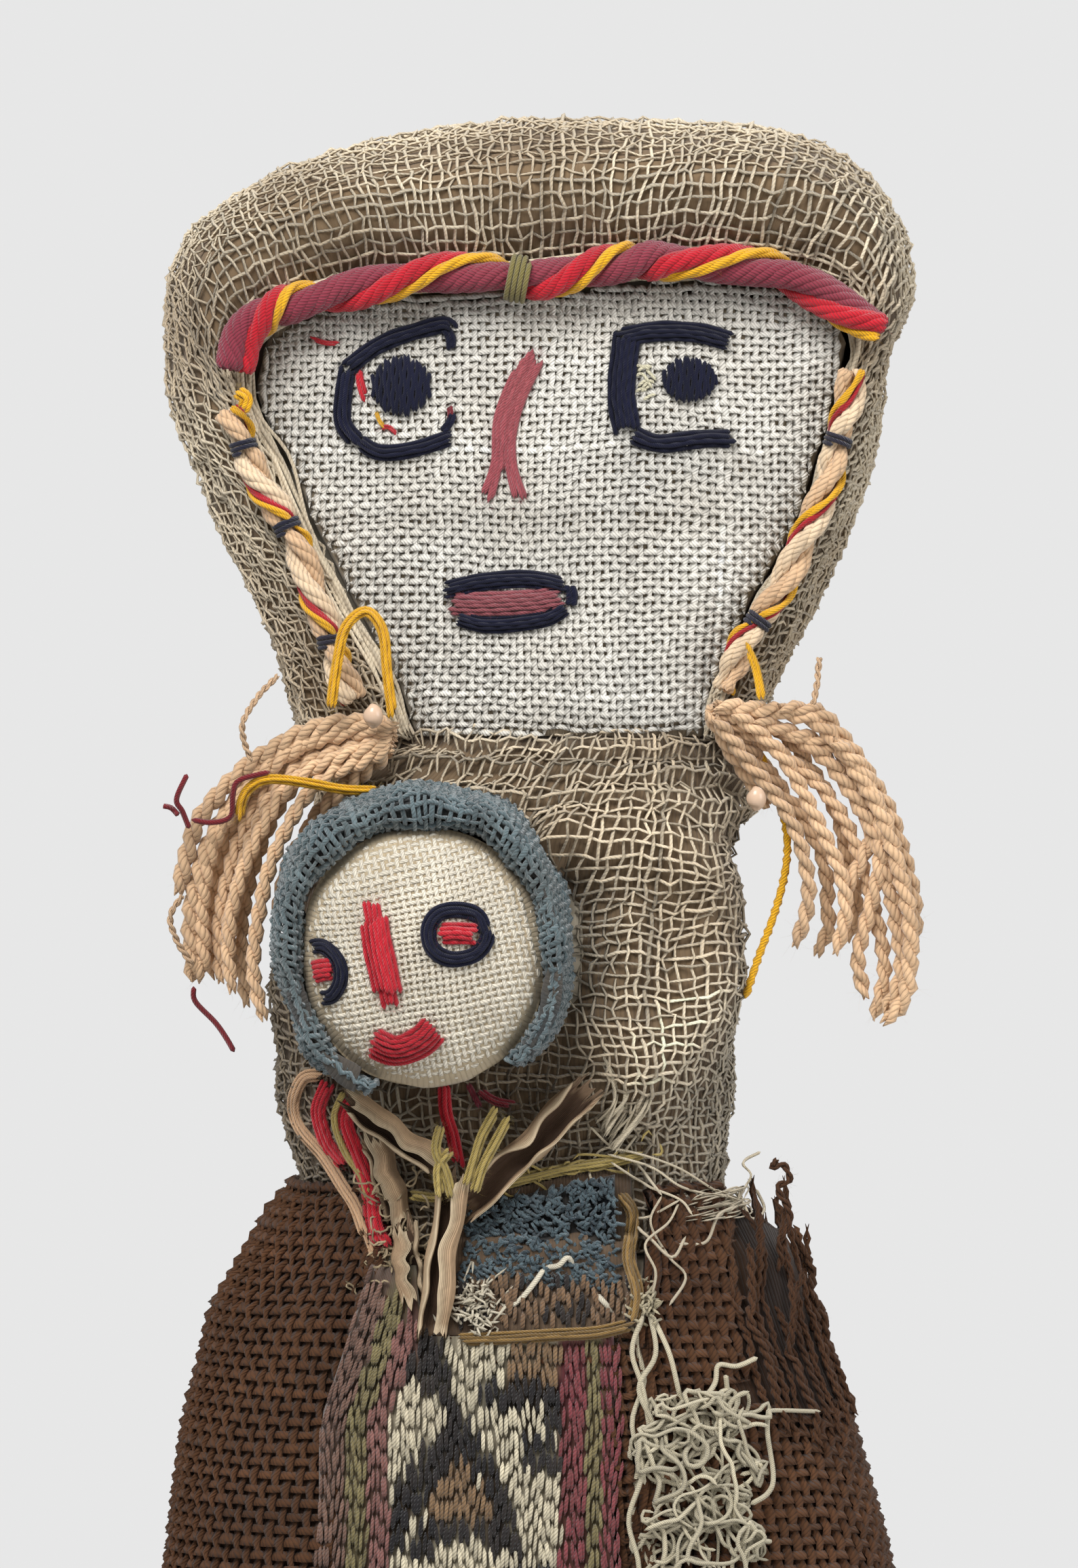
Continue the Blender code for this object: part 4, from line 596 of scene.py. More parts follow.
# Torso: a stuffed trunk wound with the same open gauze. It is rolled into folds round the neck, and a
# thick fold comes down the right side like an arm and bends towards the small figure.
GAUZE_FOOT, GAUZE_TOP, TRUNK_WIDE, TRUNK_DEEP, ROUND = 151.0, 213.9, 56.6, 41.0, 2.4
TRUNK_LEVELS = np.array([
    (0.0, 0.92, 0.95, -1.2), (0.128, 0.926, 0.96, -1.2), (0.3, 1.0, 1.0, -2.3), (0.54, 1.0, 1.0, -2.5),
    (0.78, 0.955, 0.93, -1.0), (0.89, 0.865, 0.82, 2.0), (0.955, 0.76, 0.73, 4.2), (1.0, 0.70, 0.68, 4.8)])
TORSO_FOLDS = [
    (picture((600, 1112), (700, 1092), (850, 1082), (1000, 1078), (1095, 1085)), 1.7, 2.6),
    (picture((600, 1158), (720, 1140), (860, 1125), (1000, 1125), (1100, 1150)), 1.6, 2.2),
    (picture((700, 1185), (800, 1165), (900, 1168), (1000, 1190), (1090, 1235)), 1.8, 2.0),
    (picture((800, 1215), (890, 1215), (970, 1250), (1020, 1320), (1030, 1410), (1000, 1500), (930, 1570)), 4.6, 5.0),
    (picture((840, 1260), (900, 1300), (930, 1370), (925, 1450), (885, 1520)), 3.0, 2.6),
    (picture((830, 1290), (852, 1380), (850, 1460)), 1.6, -3.0),
    (picture((960, 1640), (1010, 1600), (1055, 1520)), 2.6, 1.0),
    (picture((420, 1330), (410, 1450), (420, 1560)), 2.4, 1.0),
]


def section(levels, share, wide, deep):
    half_wide, half_deep, centre = (np.interp(share, levels[:, 0], levels[:, k]) for k in (1, 2, 3))
    return half_wide * wide / 2, half_deep * deep / 2, centre


def trunk(z):
    return section(TRUNK_LEVELS, (z - GAUZE_FOOT) / (GAUZE_TOP - GAUZE_FOOT), TRUNK_WIDE, TRUNK_DEEP)


def oval_front(x, half_wide, half_deep, centre):
    """How far forward an oval section lies at x."""
    share = np.clip(np.abs(x - centre) / half_wide, 0.0, 0.985)
    return -half_deep * (1 - share ** ROUND) ** (1 / ROUND)


def trunk_front(x, z):
    return oval_front(x, *trunk(z))


def oval_round(angle, half_wide, half_deep, centre, z):
    c, s = np.cos(angle), np.sin(angle)
    x = centre + half_wide * np.sign(c) * np.abs(c) ** (2 / ROUND)
    y = half_deep * np.sign(s) * np.abs(s) ** (2 / ROUND)
    return np.stack(np.broadcast_arrays(x, y, z), -1)


def even_angles(count, half_wide, half_deep):
    """Angles that put the points of an oval section evenly round it."""
    fine = np.linspace(0, 2 * math.pi, 721)
    ring = oval_round(fine, half_wide, half_deep, 0.0, 0.0)
    run = run_of(ring)
    return np.interp(np.linspace(0, run[-1], count + 1)[:-1], run, fine)


def nearness(x, z, line, width):
    """1 on a line drawn on the front, falling away softly beside it."""
    line = flow(line, 40)
    gap = np.full(np.shape(x), 1e9)
    for place in line:
        gap = np.minimum(gap, (x - place[0]) ** 2 + (z - place[1]) ** 2)
    return np.exp(-gap / width ** 2)


def torso_fold(x, y, z):
    """How far the gauze stands proud of the trunk in its folds."""
    front = np.clip(-y / 10.0, 0.0, 1.0)
    collar = np.clip((z - 202.5) / 3.0, 0.0, 1.0)
    rise = collar * (2.6 + 0.9 * np.sin(z * 1.9 + 0.06 * x))
    for line, width, high in TORSO_FOLDS:
        rise = rise + high * front * nearness(x, z, line, width) * (1 - 0.55 * collar)
    return rise + 0.5 * slow_noise(x * 0.8 + y * 0.5, z, 19, 61)


def torso_grid(columns, rows):
    angle = even_angles(columns, 28.0, 20.5)[:, None]
    z = np.linspace(GAUZE_FOOT, GAUZE_TOP, rows)[None]
    base = oval_round(angle, *trunk(z), z)
    out = outward_of(base, around=True)
    return base + out * torso_fold(base[..., 0], base[..., 1], base[..., 2])[..., None]


torso_form = torso_grid(134, 55)
torso_out = outward_of(torso_form, around=True)
# Painted shade: the torso's backing is the gauze's shade colour, darker still.
skeins.patch((torso_form - torso_out * 0.5)[:, ::3], GAUZE_GAP_SHADE * 0.9, around=True)
torso_backing = thicken(skeins.piece("torso_backing", backing, "gauze", "trunk_gauze", "neck_wrap", "arm_gauze"), 0.8)

torso_cross = loosen(loosen(torso_form, torso_out, 0.40, 62), torso_out, 0.55, 65, 27.0)
loose = np.clip((torso_cross[..., 0] - 2) / 14, 0, 1) * np.clip((196 - torso_cross[..., 2]) / 14, 0, 1)
pale = np.clip(0.48 + 0.4 * slow_noise(torso_cross[..., 0], torso_cross[..., 2], 24, 63)
               + 0.35 * loose, 0, 1)[..., None]
torso_tint = GAUZE_GREY * (1 - pale) + GAUZE_PALE * pale
# Painted shade: the threads are darker in the valleys between the folds and lighter on their crests, by how far the
# gauze stands proud there.
proud = torso_fold(torso_cross[..., 0], torso_cross[..., 1], torso_cross[..., 2])
torso_tint = torso_tint * np.clip(0.52 + 0.17 * proud, 0.46, 1.2)[..., None]
torso_turn = [*range(len(torso_cross)), 0]
seen = (torso_cross[..., 1] > 0) | (np.hypot(torso_cross[..., 0] + 12.5, torso_cross[..., 2] - 188.5) > 15.0)
lay_threads(torso_cross[torso_turn], torso_out[torso_turn], 0.18, 0.23, torso_tint[torso_turn], seen[torso_turn],
            sides=3, flat=0.9, halfway=False, spread=0.18, seed=64)
torso_threads = skeins.piece("torso_threads", gauze_thread, "gauze")

# Tunic: dark brown wool in a coarse plain weave, one tube of cloth open at the hem. Its front neckline
# dips, and its right shoulder is worn through to loose warps.
TUNIC_TOP, HEM_WIDE, HEM_DEEP = 158.5, 112.0, 60.0
TUNIC_LEVELS = np.array([
    (0.0, 1.0, 1.0, 0.5), (0.38, 0.91, 0.95, 0.5), (0.70, 0.805, 0.89, 0.2), (0.82, 0.74, 0.85, -0.5),
    (0.90, 0.665, 0.815, -1.4), (0.95, 0.60, 0.785, -0.4), (0.98, 0.555, 0.765, -0.4), (1.0, 0.512, 0.75, -0.5)])
HEM_LIFT = 0.7
BROWN, BROWN_WARP_SHADE, BROWN_LIGHT = shade(80, 52, 33), shade(38, 24, 15), shade(116, 80, 52)


def tunic(z):
    return section(TUNIC_LEVELS, z / TUNIC_TOP, HEM_WIDE, HEM_DEEP)


def tunic_front(x, z):
    return oval_front(x, *tunic(np.minimum(z, TUNIC_TOP)))


def neckline(x):
    """Front top edge of the tunic, which dips below the patch."""
    left = np.maximum(0.0, -10.0 - x) * 1.9
    right = np.maximum(0.0, x - 12.0) * 5.0
    return np.minimum(TUNIC_TOP, TUNIC_TOP - 17.5 + left + right)


tunic_material = fibre_material("Brown wool", plies=2.0, twist=0.35, dust=0.16, dust_colour=(120, 84, 54), spots=55.0,
                                ply_shade=0.5, sheen=0.06)
columns, rows = 142, 96
angle = even_angles(columns, 50.0, 28.0)[:, None]
level = np.linspace(0, 1, rows)[None]
whole = oval_round(angle, *tunic(level * TUNIC_TOP), level * TUNIC_TOP)
edge_top = np.where(whole[..., 1] < 0, neckline(whole[..., 0]), TUNIC_TOP)
frayed = np.clip((whole[:, -1, 0] - 24.0) / 5.0, 0, 1) * np.clip((14 - whole[:, -1, 1]) / 6.0, 0, 1)
edge_top = edge_top - (frayed * (3.4 + 1.8 * slow_noise(np.arange(columns), 0.0, 9, 71)))[:, None]
tz = HEM_LIFT + level * (edge_top - HEM_LIFT)
form = oval_round(angle, *tunic(np.minimum(tz, TUNIC_TOP)), tz)
out = outward_of(form, around=True)
form = form + out * (0.5 * slow_noise(form[..., 0], form[..., 2], 34, 72))[..., None]
torn = (form[..., 0] > 26.5 + 1.6 * slow_noise(form[..., 2], 0.0, 14, 75)) & (form[..., 2] > 133 + 2 * slow_noise(
    form[..., 0], 0.0, 9, 76)) & (form[..., 1] < 14)
form = loosen(form, out, 0.16, 74, 14.0)
under_panel = (form[..., 1] < 0) & (form[..., 2] < 137) & (form[..., 0] > -22.5) & (form[..., 0] < 9.5)
mottle = 1 + (0.12 * slow_noise(form[..., 0], form[..., 2], 15, 73) + rng.normal(0, 0.08, form.shape[:2]))[..., None]
half = columns // 2
for name, begin, stands_for in (("tunic_back", 0, ["tunic"]), ("tunic_front_cloth", half, [])):
    turn = [k % columns for k in range(begin, begin + half + 1)]
    # The backing under the wefts stands for the warps that show between them, darkened with painted shade.
    skeins.patch((form - out * 0.30)[turn][:, ::3], (BROWN_WARP_SHADE * mottle)[turn][:, ::3], scale=0.5)
    side_cloth = thicken(skeins.piece(name, tunic_material, "brown_cloth", *stands_for), 0.7)
    lay_threads(form[turn], out[turn], 0.46, 0.70, BROWN * mottle[turn], ~(torn | under_panel)[turn], sides=3,
                flat=0.85, halfway=False, spread=0.12, seed=77 + begin)
    wefts = skeins.piece(name + "_wefts", tunic_material, "brown_cloth")


def plied_yarn(path, radius, lay, tint, sides=7):
    """Two plies of one yarn wound round each other, thinner at the tip."""
    swell = np.ones(len(path)) * radius
    swell[-3:] *= np.array([0.95, 0.85, 0.7])
    for ply in range(2):
        turn = 2 * math.pi * run_of(path) / lay + ply * math.pi + rng.uniform(-0.3, 0.3)
        skeins.tubes(wound(path, 0.52 * swell, turn), 0.56 * swell, tint * (1 + rng.normal(0, 0.05)), sides)


def fuzz(places, outward, length, tint, thickness=0.05, seed=5):
    """Fine loose fibres that stand off wool."""
    draw = np.random.default_rng(seed)
    count = len(places)
    heading = unit(outward + draw.normal(0, 0.9, (count, 3)))
    far = length * draw.uniform(0.4, 1.2, (count, 1))
    paths = np.stack([places, places + heading * far], axis=1)
    skeins.tubes(paths, np.array([1.0, 0.4]) * thickness, tint * draw.uniform(0.85, 1.3, (count, 1)), 3)


def fuzz_along(path, radius, count, length, tint, seed=5, thickness=0.05):
    draw = np.random.default_rng(seed)
    pick = draw.integers(0, len(path) - 1, count)
    outward = unit(draw.normal(0, 1, (count, 3)))
    fuzz(path[pick] + outward * radius * 0.9, outward, length, tint, thickness, seed + 1)


draw = np.random.default_rng(78)
for k in range(columns):
    rows_torn = np.where(torn[k])[0]
    if len(rows_torn) < 4:
        continue
    low = max(rows_torn[0] - 3, 0)
    line, square = form[k, low:], out[k, low:]
    stop = int(len(line) * draw.uniform(0.55, 1.0))
    share = np.linspace(0, 1, stop)
    wander = np.stack([1.0 * slow_noise(share * 20, k, 8, 79 + d) for d in range(3)], -1)
    path = flow(line[:stop] + square[:stop] * (0.5 + 0.5 * math.sin(k * 2.3)) + wander * share[:, None], 28)
    path[-8:, 2] += np.linspace(0, 1, 8) ** 1.5 * draw.uniform(-2.0, 6.0)
    path[-8:, 0] += np.linspace(0, 1, 8) ** 1.5 * draw.uniform(-2.0, 2.5)
    plied_yarn(path, draw.uniform(0.46, 0.72), 3.6, BROWN * draw.uniform(0.75, 1.25), 4)
    fuzz_along(path, 0.5, 24, 0.9, BROWN_LIGHT, 81 + k)
skeins.piece("shoulder_warps", tunic_material, "brown_cloth")

# Small figure: a flat stuffed head of white cotton in a hood of loosely woven blue-grey wool.
BABY_X, BABY_Z, BABY_WIDE, BABY_HIGH, BABY_TILT, BABY_ROUND = -12.3, 189.0, 35.4, 38.0, math.radians(10.0), 2.3
BABY_FACE_SHARE, BABY_FACE_DROP, BABY_DEEP, BABY_CROWN, BABY_HOOD_DEEP = 0.81, 1.6, 33.0, 7.5, 36.5
BABY_WHITE, BABY_GAP_SHADE = shade(240, 232, 214), shade(186, 170, 142)
SLATE, SLATE_GAP_SHADE = shade(88, 104, 109), shade(42, 50, 55)


def baby_place(across, up):
    c, s = math.cos(BABY_TILT), math.sin(BABY_TILT)
    return np.stack([BABY_X + across * c - up * s, BABY_Z + across * s + up * c], -1)


def baby_oval(half_wide, half_high, drop, angle):
    s, c = np.sin(angle), np.cos(angle)
    reach = ((np.abs(s) / half_wide) ** BABY_ROUND + (np.abs(c) / half_high) ** BABY_ROUND) ** (-1 / BABY_ROUND)
    return baby_place(reach * s, reach * c - drop)


def baby_front(x, z):
    """Depth of the small figure's face cloth, a shallow dome."""
    c, s = math.cos(BABY_TILT), math.sin(BABY_TILT)
    across = (x - BABY_X) * c + (z - BABY_Z) * s
    up = -(x - BABY_X) * s + (z - BABY_Z) * c + BABY_FACE_DROP
    share = np.hypot(across / (BABY_WIDE / 2), up / (BABY_HIGH / 2)) / BABY_FACE_SHARE
    return -BABY_DEEP - BABY_CROWN * np.maximum(0.0, 1 - share ** 2) ** 0.6


angle = np.linspace(0, 2 * math.pi, 72, endpoint=False)
rim = baby_oval(BABY_WIDE / 2 * BABY_FACE_SHARE, BABY_HIGH / 2 * BABY_FACE_SHARE, BABY_FACE_DROP, angle)
centre = rim.mean(axis=0)
spread_out = np.array([0.02, 0.3, 0.55, 0.75, 0.88, 0.95, 0.985, 1.0])
flat_place = centre + (rim - centre)[:, None] * spread_out[None, :, None]
# Painted shade: the backing is darker than the threads, so the gaps between them look shaded.
skeins.patch(laid(flat_place, baby_front, -0.45), BABY_GAP_SHADE, around=True)
baby_backing = thicken(skeins.piece("baby_face_backing", backing, "cream_cloth", "baby_face"), -0.5)

BABY_PITCH = 0.80
across, up = np.meshgrid(np.arange(-15.0, 15.2, BABY_PITCH), np.arange(-17.8, 15.0, BABY_PITCH), indexing="ij")
across = across + 0.35 * slow_noise(across, up, 24, 81) + rng.normal(0, 0.04, across.shape)
up = up + 0.35 * slow_noise(across, up, 20, 82)
flat_place = baby_place(across, up)
share = np.hypot(across / (BABY_WIDE / 2), (up + BABY_FACE_DROP) / (BABY_HIGH / 2)) / BABY_FACE_SHARE
grid = laid(flat_place, baby_front)
grid_out = outward_of(grid)
grid_out[grid_out[..., 1] > 0] *= -1
tone = np.clip(0.94 + 0.08 * slow_noise(across, up, 15, 83), 0.8, 1.05)[..., None]
lay_threads(grid, grid_out, 0.19, 0.33, BABY_WHITE * tone, share < 0.985, spread=0.05, seed=84)
baby_threads = skeins.piece("baby_face_threads", face_thread, "cream_cloth")

slate_wool = fibre_material("Blue-grey wool", plies=2.0, twist=0.5, dust=0.2, dust_colour=(120, 118, 105), spots=80.0,
                            sheen=0.4)
BABY_HOOD_SECTION = [(0.02, 0.86), (0.10, 0.97), (0.3, 1.01), (0.6, 1.0), (0.88, 0.88), (1.0, 0.66), (1.0, 0.5)]
sweep = np.linspace(math.radians(-150), math.radians(150), 90)
inner_rim = baby_oval(BABY_WIDE / 2 * BABY_FACE_SHARE + 0.3, BABY_HIGH / 2 * BABY_FACE_SHARE + 0.3,
                      BABY_FACE_DROP, sweep)
outer_rim = baby_oval(BABY_WIDE / 2, BABY_HIGH / 2, 0.0, sweep)
lines = []
for (x0, z0), (x1, z1) in zip(inner_rim, outer_rim):
    line = [(x0 + (x1 - x0) * reach, -deep * BABY_HOOD_DEEP, z0 + (z1 - z0) * reach)
            for reach, deep in BABY_HOOD_SECTION]
    lines.append(flow(line, 22))
hood_shape = np.array(lines)
hood_shape_out = outward_of(hood_shape)
hood_shape = hood_shape + hood_shape_out * (0.5 * slow_noise(*np.meshgrid(np.arange(90), np.arange(22), indexing="ij"),
                                                             14, 85))[..., None]
# Painted shade: the backing is a dark slate that shows between the loose threads.
skeins.patch((hood_shape - hood_shape_out * 0.95)[2:-2], SLATE_GAP_SHADE)
baby_hood = thicken(skeins.piece("baby_hood_backing", backing, "blue_wool", "baby_hood"), 0.8)
cross = crossings(hood_shape, 92, 20)
cross = loosen(cross, outward_of(cross), 0.30, 86)
tone = (1 + 0.22 * slow_noise(*np.meshgrid(np.arange(92), np.arange(20), indexing="ij"), 8, 87))[..., None]
lay_threads(cross, outward_of(cross), 0.26, 0.38, SLATE * tone, sides=4, flat=0.9, halfway=False,
            spread=0.14, seed=88)
baby_hood_threads = skeins.piece("baby_hood_threads", slate_wool, "blue_wool")

# Tassels: the ends of the side rolls' peach wool yarns, untwisted and left to hang in a bunch from
# the jaw. Each end is a soft two-ply yarn, worn and fluffy at its tip.
PEACH, PEACH_LIGHT = shade(222, 186, 148), shade(240, 214, 180)
TASSEL_RIGHT = [
    ((1052, 1040), (1100, 1045), (1150, 1050), (1200, 1062), (1235, 1100), (1270, 1150), (1305, 1210), (1325, 1280),
     (1340, 1350), (1343, 1420), (1335, 1475), (1300, 1510)),
    ((1050, 1046), (1110, 1062), (1160, 1080), (1210, 1110), (1250, 1160), (1290, 1230), (1312, 1300), (1325, 1370),
     (1330, 1440), (1306, 1500)),
    ((1050, 1052), (1110, 1085), (1165, 1120), (1215, 1165), (1255, 1230), (1280, 1300), (1298, 1370), (1308, 1440),
     (1290, 1504)),
    ((1060, 1056), (1110, 1110), (1150, 1160), (1190, 1210), (1215, 1270), (1225, 1330), (1225, 1380), (1208, 1418)),
    ((1052, 1058), (1100, 1120), (1140, 1170), (1175, 1230), (1190, 1290), (1192, 1350), (1180, 1396)),
    ((1046, 1048), (1075, 1098), (1105, 1143), (1138, 1186)),
    ((1058, 1040), (1095, 1088), (1125, 1133), (1152, 1178)),
    ((1100, 1050), (1160, 1085), (1200, 1140), (1235, 1200), (1255, 1270), (1262, 1330), (1252, 1392)),
    ((1080, 1050), (1140, 1100), (1180, 1160), (1215, 1230), (1240, 1300), (1245, 1360), (1232, 1408)),
    ((1145, 1045), (1205, 1048), (1240, 1085), (1280, 1138), (1312, 1190), (1332, 1250), (1346, 1320), (1352, 1390)),
    ((1110, 1060), (1180, 1085), (1239, 1108), (1272, 1160), (1288, 1212), (1275, 1265), (1248, 1318)),
    ((1225, 1092), (1270, 1130), (1294, 1188), (1301, 1273), (1282, 1353), (1272, 1426), (1280, 1480)),
]
TASSEL_LEFT = [
    ((588, 1074), (541, 1066), (488, 1068), (439, 1084), (399, 1108), (363, 1130), (320, 1172), (292, 1210), (275, 1250),
     (262, 1290), (256, 1322)),
    ((588, 1080), (530, 1080), (470, 1090), (420, 1110), (380, 1140), (345, 1185), (315, 1235), (300, 1290), (294, 1350),
     (300, 1410), (290, 1452)),
    ((586, 1088), (530, 1096), (475, 1108), (430, 1132), (395, 1165), (365, 1210), (340, 1265), (325, 1330), (321, 1390),
     (325, 1452)),
    ((584, 1096), (530, 1111), (480, 1125), (440, 1150), (410, 1190), (385, 1240), (365, 1300), (352, 1360), (350, 1420),
     (360, 1482)),
    ((580, 1102), (535, 1124), (490, 1142), (455, 1172), (425, 1215), (402, 1265), (388, 1320), (378, 1380), (376, 1440),
     (388, 1508)),
    ((570, 1074), (500, 1076), (445, 1098), (400, 1130), (360, 1165), (325, 1215), (300, 1265), (285, 1320), (279, 1380),
     (279, 1446)),
    ((576, 1108), (540, 1135), (505, 1165), (470, 1205), (440, 1250), (420, 1300), (408, 1352)),
    ((585, 1085), (500, 1098), (440, 1118), (392, 1152), (352, 1200), (322, 1258), (310, 1320), (306, 1390), (312, 1448)),
    ((580, 1096), (510, 1114), (455, 1138), (415, 1172), (385, 1222), (358, 1282), (342, 1346), (338, 1412), (345, 1470)),
    ((582, 1090), (520, 1104), (462, 1122), (422, 1150), (392, 1190), (368, 1246), (350, 1310), (336, 1372), (338, 1440)),
]
peach_wool = fibre_material("Peach wool", plies=2.0, twist=0.3, dust=0.22, dust_colour=(150, 108, 72), spots=70.0,
                            depth=0.0003)


def hung(route, depth_start, depth_end):
    """A yarn's route from its picture places, with its depth from root to tip in millimetres."""
    flat = flow(picture(*route), 38)
    share = np.linspace(0, 1, len(flat))
    y = depth_start + (depth_end - depth_start) * share ** 0.7
    return np.column_stack([flat[:, 0], y, flat[:, 1]])


for side, routes, root_y, tip_y, seed in (("right", TASSEL_RIGHT, -19.5, -10.5, 101),
                                          ("left", TASSEL_LEFT, -20.4, -12.0, 102)):
    draw = np.random.default_rng(seed)
    for number, route in enumerate(routes):
        layer = (number % 4) - 1.5
        path = hung(route, root_y + 0.5 * layer, tip_y + 1.7 * layer - (3.0 if number >= 10 else 0.0))
        path = path + np.stack([0.35 * slow_noise(np.arange(len(path)), 0.0, 17, seed + number * 3 + k)
                                for k in range(3)], -1) * np.linspace(0, 1, len(path))[:, None]
        thick = 1.22 if number in (0, 1, 5, 6) else 1.02
        colour = PEACH * draw.uniform(0.86, 1.12)
        plied_yarn(path, thick, 5.2, colour)
        fuzz_along(path, thick, 26, 1.2, PEACH_LIGHT, seed + number)
        fuzz_along(path[-5:], thick * 0.7, 16, 2.4, PEACH_LIGHT, seed + 40 + number)
    skeins.piece(side + "_tassel_yarns", peach_wool, "peach_yarn", side + "_tassel")

# Side rolls: peach yarns twisted with a thinner yellow and a red one, laid over the seam between face
# and hood and bound to it with navy yarn.
NAVY, RED, ROSE, LIP = shade(17, 20, 46), shade(190, 26, 42), shade(172, 84, 92), shade(146, 76, 84)
BURGUNDY, OLIVE = shade(136, 50, 66), shade(128, 118, 68)
ROLL_LEFT = picture((335, 604), (352, 640), (372, 690), (402, 738), (430, 790), (455, 850), (482, 925), (497, 985),
                    (524, 1032))
ROLL_RIGHT = picture((1253, 545), (1252, 600), (1236, 648), (1222, 700), (1198, 770), (1165, 840), (1128, 900),
                     (1098, 950), (1064, 1018))


def over_seam(route, radius, count, proud=0.3):
    return laid(flow(route, count), lambda x, z: np.minimum(face_front(x, z), -FLAP_DEEP), radius + proud)


def pinched(count, places, depth, width=0.03):
    share = np.linspace(0, 1, count)
    scale = np.ones(count)
    for place in places:
        scale -= (1 - depth) * np.exp(-((share - place) / width) ** 2)
    return scale


def strand(path, offset, turn, radius, tint, yarns, scale, lay=3.4):
    """One strand of a twist: several yarns laid together, wound round a middle path."""
    centre = wound(path, offset * scale, turn)
    small = radius / (1 + 1 / math.sin(math.pi / yarns)) * 1.35
    for yarn in range(yarns):
        wind = 2 * math.pi * (run_of(centre) / lay / 3 + yarn / yarns)
        skeins.tubes(wound(centre, (radius - small) * scale, wind), small * scale,
                     tint * (1 + rng.normal(0, 0.07)), 6)
    return centre


def turns_at(path, marks):
    """Turning of a twist along its path, given where it passes each half turn, by x in the picture."""
    known = [picture((mark, 0))[0][0] for mark, _ in marks]
    return np.pi * np.interp(path[:, 0], known, [half for _, half in marks])


def bound(path, index, hole, radius, tint, turns):
    """A few turns of yarn pulled tight round a twist, at one point of its path."""
    heading = unit(path[index + 1] - path[index - 1])
    side = unit(np.cross(heading, (0.0, -1.0, 0.0)))
    up = np.cross(side, heading)
    t = np.linspace(0, 1, int(26 * turns))
    angle = 2 * math.pi * t * turns
    ring = (np.cos(angle)[:, None] * side + np.sin(angle)[:, None] * up) * (hole + radius)
    skeins.tubes(path[index] + ring + heading * ((t - 0.5) * 2 * radius * turns)[:, None], radius, tint, 6)


for name, route, pinches, knots, first_turn, lay in (
        ("left", ROLL_LEFT, (0.13, 0.42, 0.80), 3, 0.4, 15.0),
        ("right", ROLL_RIGHT, (0.22, 0.78, 0.96), 2, 1.2, -15.0)):
    count = 110
    path = over_seam(route, 1.9, count)
    turn = first_turn + 2 * math.pi * run_of(path) / lay
    scale = pinched(count, pinches, 0.62)
    for half_turn, colour in ((0.0, PEACH), (math.pi, PEACH_LIGHT)):
        middle = strand(path, 0.95, turn + half_turn, 1.15, colour * 0.96, 4, scale)
        fuzz_along(middle, 1.1, 70, 0.8, PEACH_LIGHT, 130)
    skeins.piece(name + "_roll_peach", peach_wool, "peach_yarn", name + "_roll_peach_front", name + "_roll_peach_back")
    strand(path, 1.75, turn + 1.45, 0.52, YELLOW, 2, scale)
    strand(path, 1.55, turn + 1.95, 0.42, RED * 0.9, 2, scale)
    skeins.piece(name + "_roll_spiral", wool, "yellow_yarn", name + "_roll_yellow")
    for number, place in enumerate(pinches[:knots], 1):
        index = int(place * (count - 1))
        bound(path, index, 1.9 * scale[index], 0.30, NAVY, 2.2)
        skeins.piece(f"{name}_roll_knot_{number}", wool, "navy_yarn", f"{name}_roll_binding_{number}")

# Headband: a thick burgundy strand with a red and a yellow yarn wound over it, across the forehead.
# It is tied to the hood in the middle with an olive yarn.
BAND_ROUTE = picture((345, 548), (356, 500), (382, 470), (412, 455), (470, 440), (550, 422), (640, 407), (720, 406),
                     (784, 415), (860, 402), (950, 386), (1050, 392), (1130, 398), (1195, 425), (1255, 462),
                     (1302, 488))
BAND_TURNS = [(330, -0.6), (385, 0.0), (442, 1.0), (570, 2.0), (714, 3.0), (831, 4.0), (926, 5.0), (978, 6.0),
              (1136, 7.0), (1160, 7.3), (1300, 8.3)]
count, TIED_AT = 140, 0.46
band_path = over_seam(BAND_ROUTE, 2.3, count, 1.4)
band_turn = turns_at(band_path, BAND_TURNS)
band_scale = pinched(count, [TIED_AT], 0.80, 0.018)
red_wool = fibre_material("Red wool", plies=3.0, twist=0.4, dust=0.06, dust_colour=(150, 40, 50), spots=90.0)
burgundy_wool = fibre_material("Burgundy wool", plies=3.0, twist=0.4, dust=0.08, dust_colour=(160, 90, 90), spots=70.0,
                               ply_shade=0.35)
for name, offset, ahead, radius, yarns, colour, dressed in (
        ("burgundy", 0.7, 1.25 * math.pi, 1.85, 8, BURGUNDY, burgundy_wool),
        ("red", 1.4, 0.34 * math.pi, 1.38, 6, RED, red_wool), ("yellow", 1.95, 0.0, 0.74, 3, YELLOW, wool)):
    # The turn starts at the underside and comes up over the front
    middle = strand(band_path, offset, band_turn + ahead, radius, colour, yarns, band_scale, lay=4.0)
    fuzz_along(middle, radius, 420, 1.0, colour, 140)
    skeins.piece("band_" + name, dressed, name + "_yarn", "headband_" + name)
bound(band_path, int(TIED_AT * count), 2.35, 0.34, OLIVE, 3.4)
skeins.piece("band_tie", wool, "olive_yarn", "headband_tie")

# Embroidery on the face: navy, rose and dull pink wool, sewn through the cloth in long stitches
# that lie side by side and have gone fuzzy with wear.


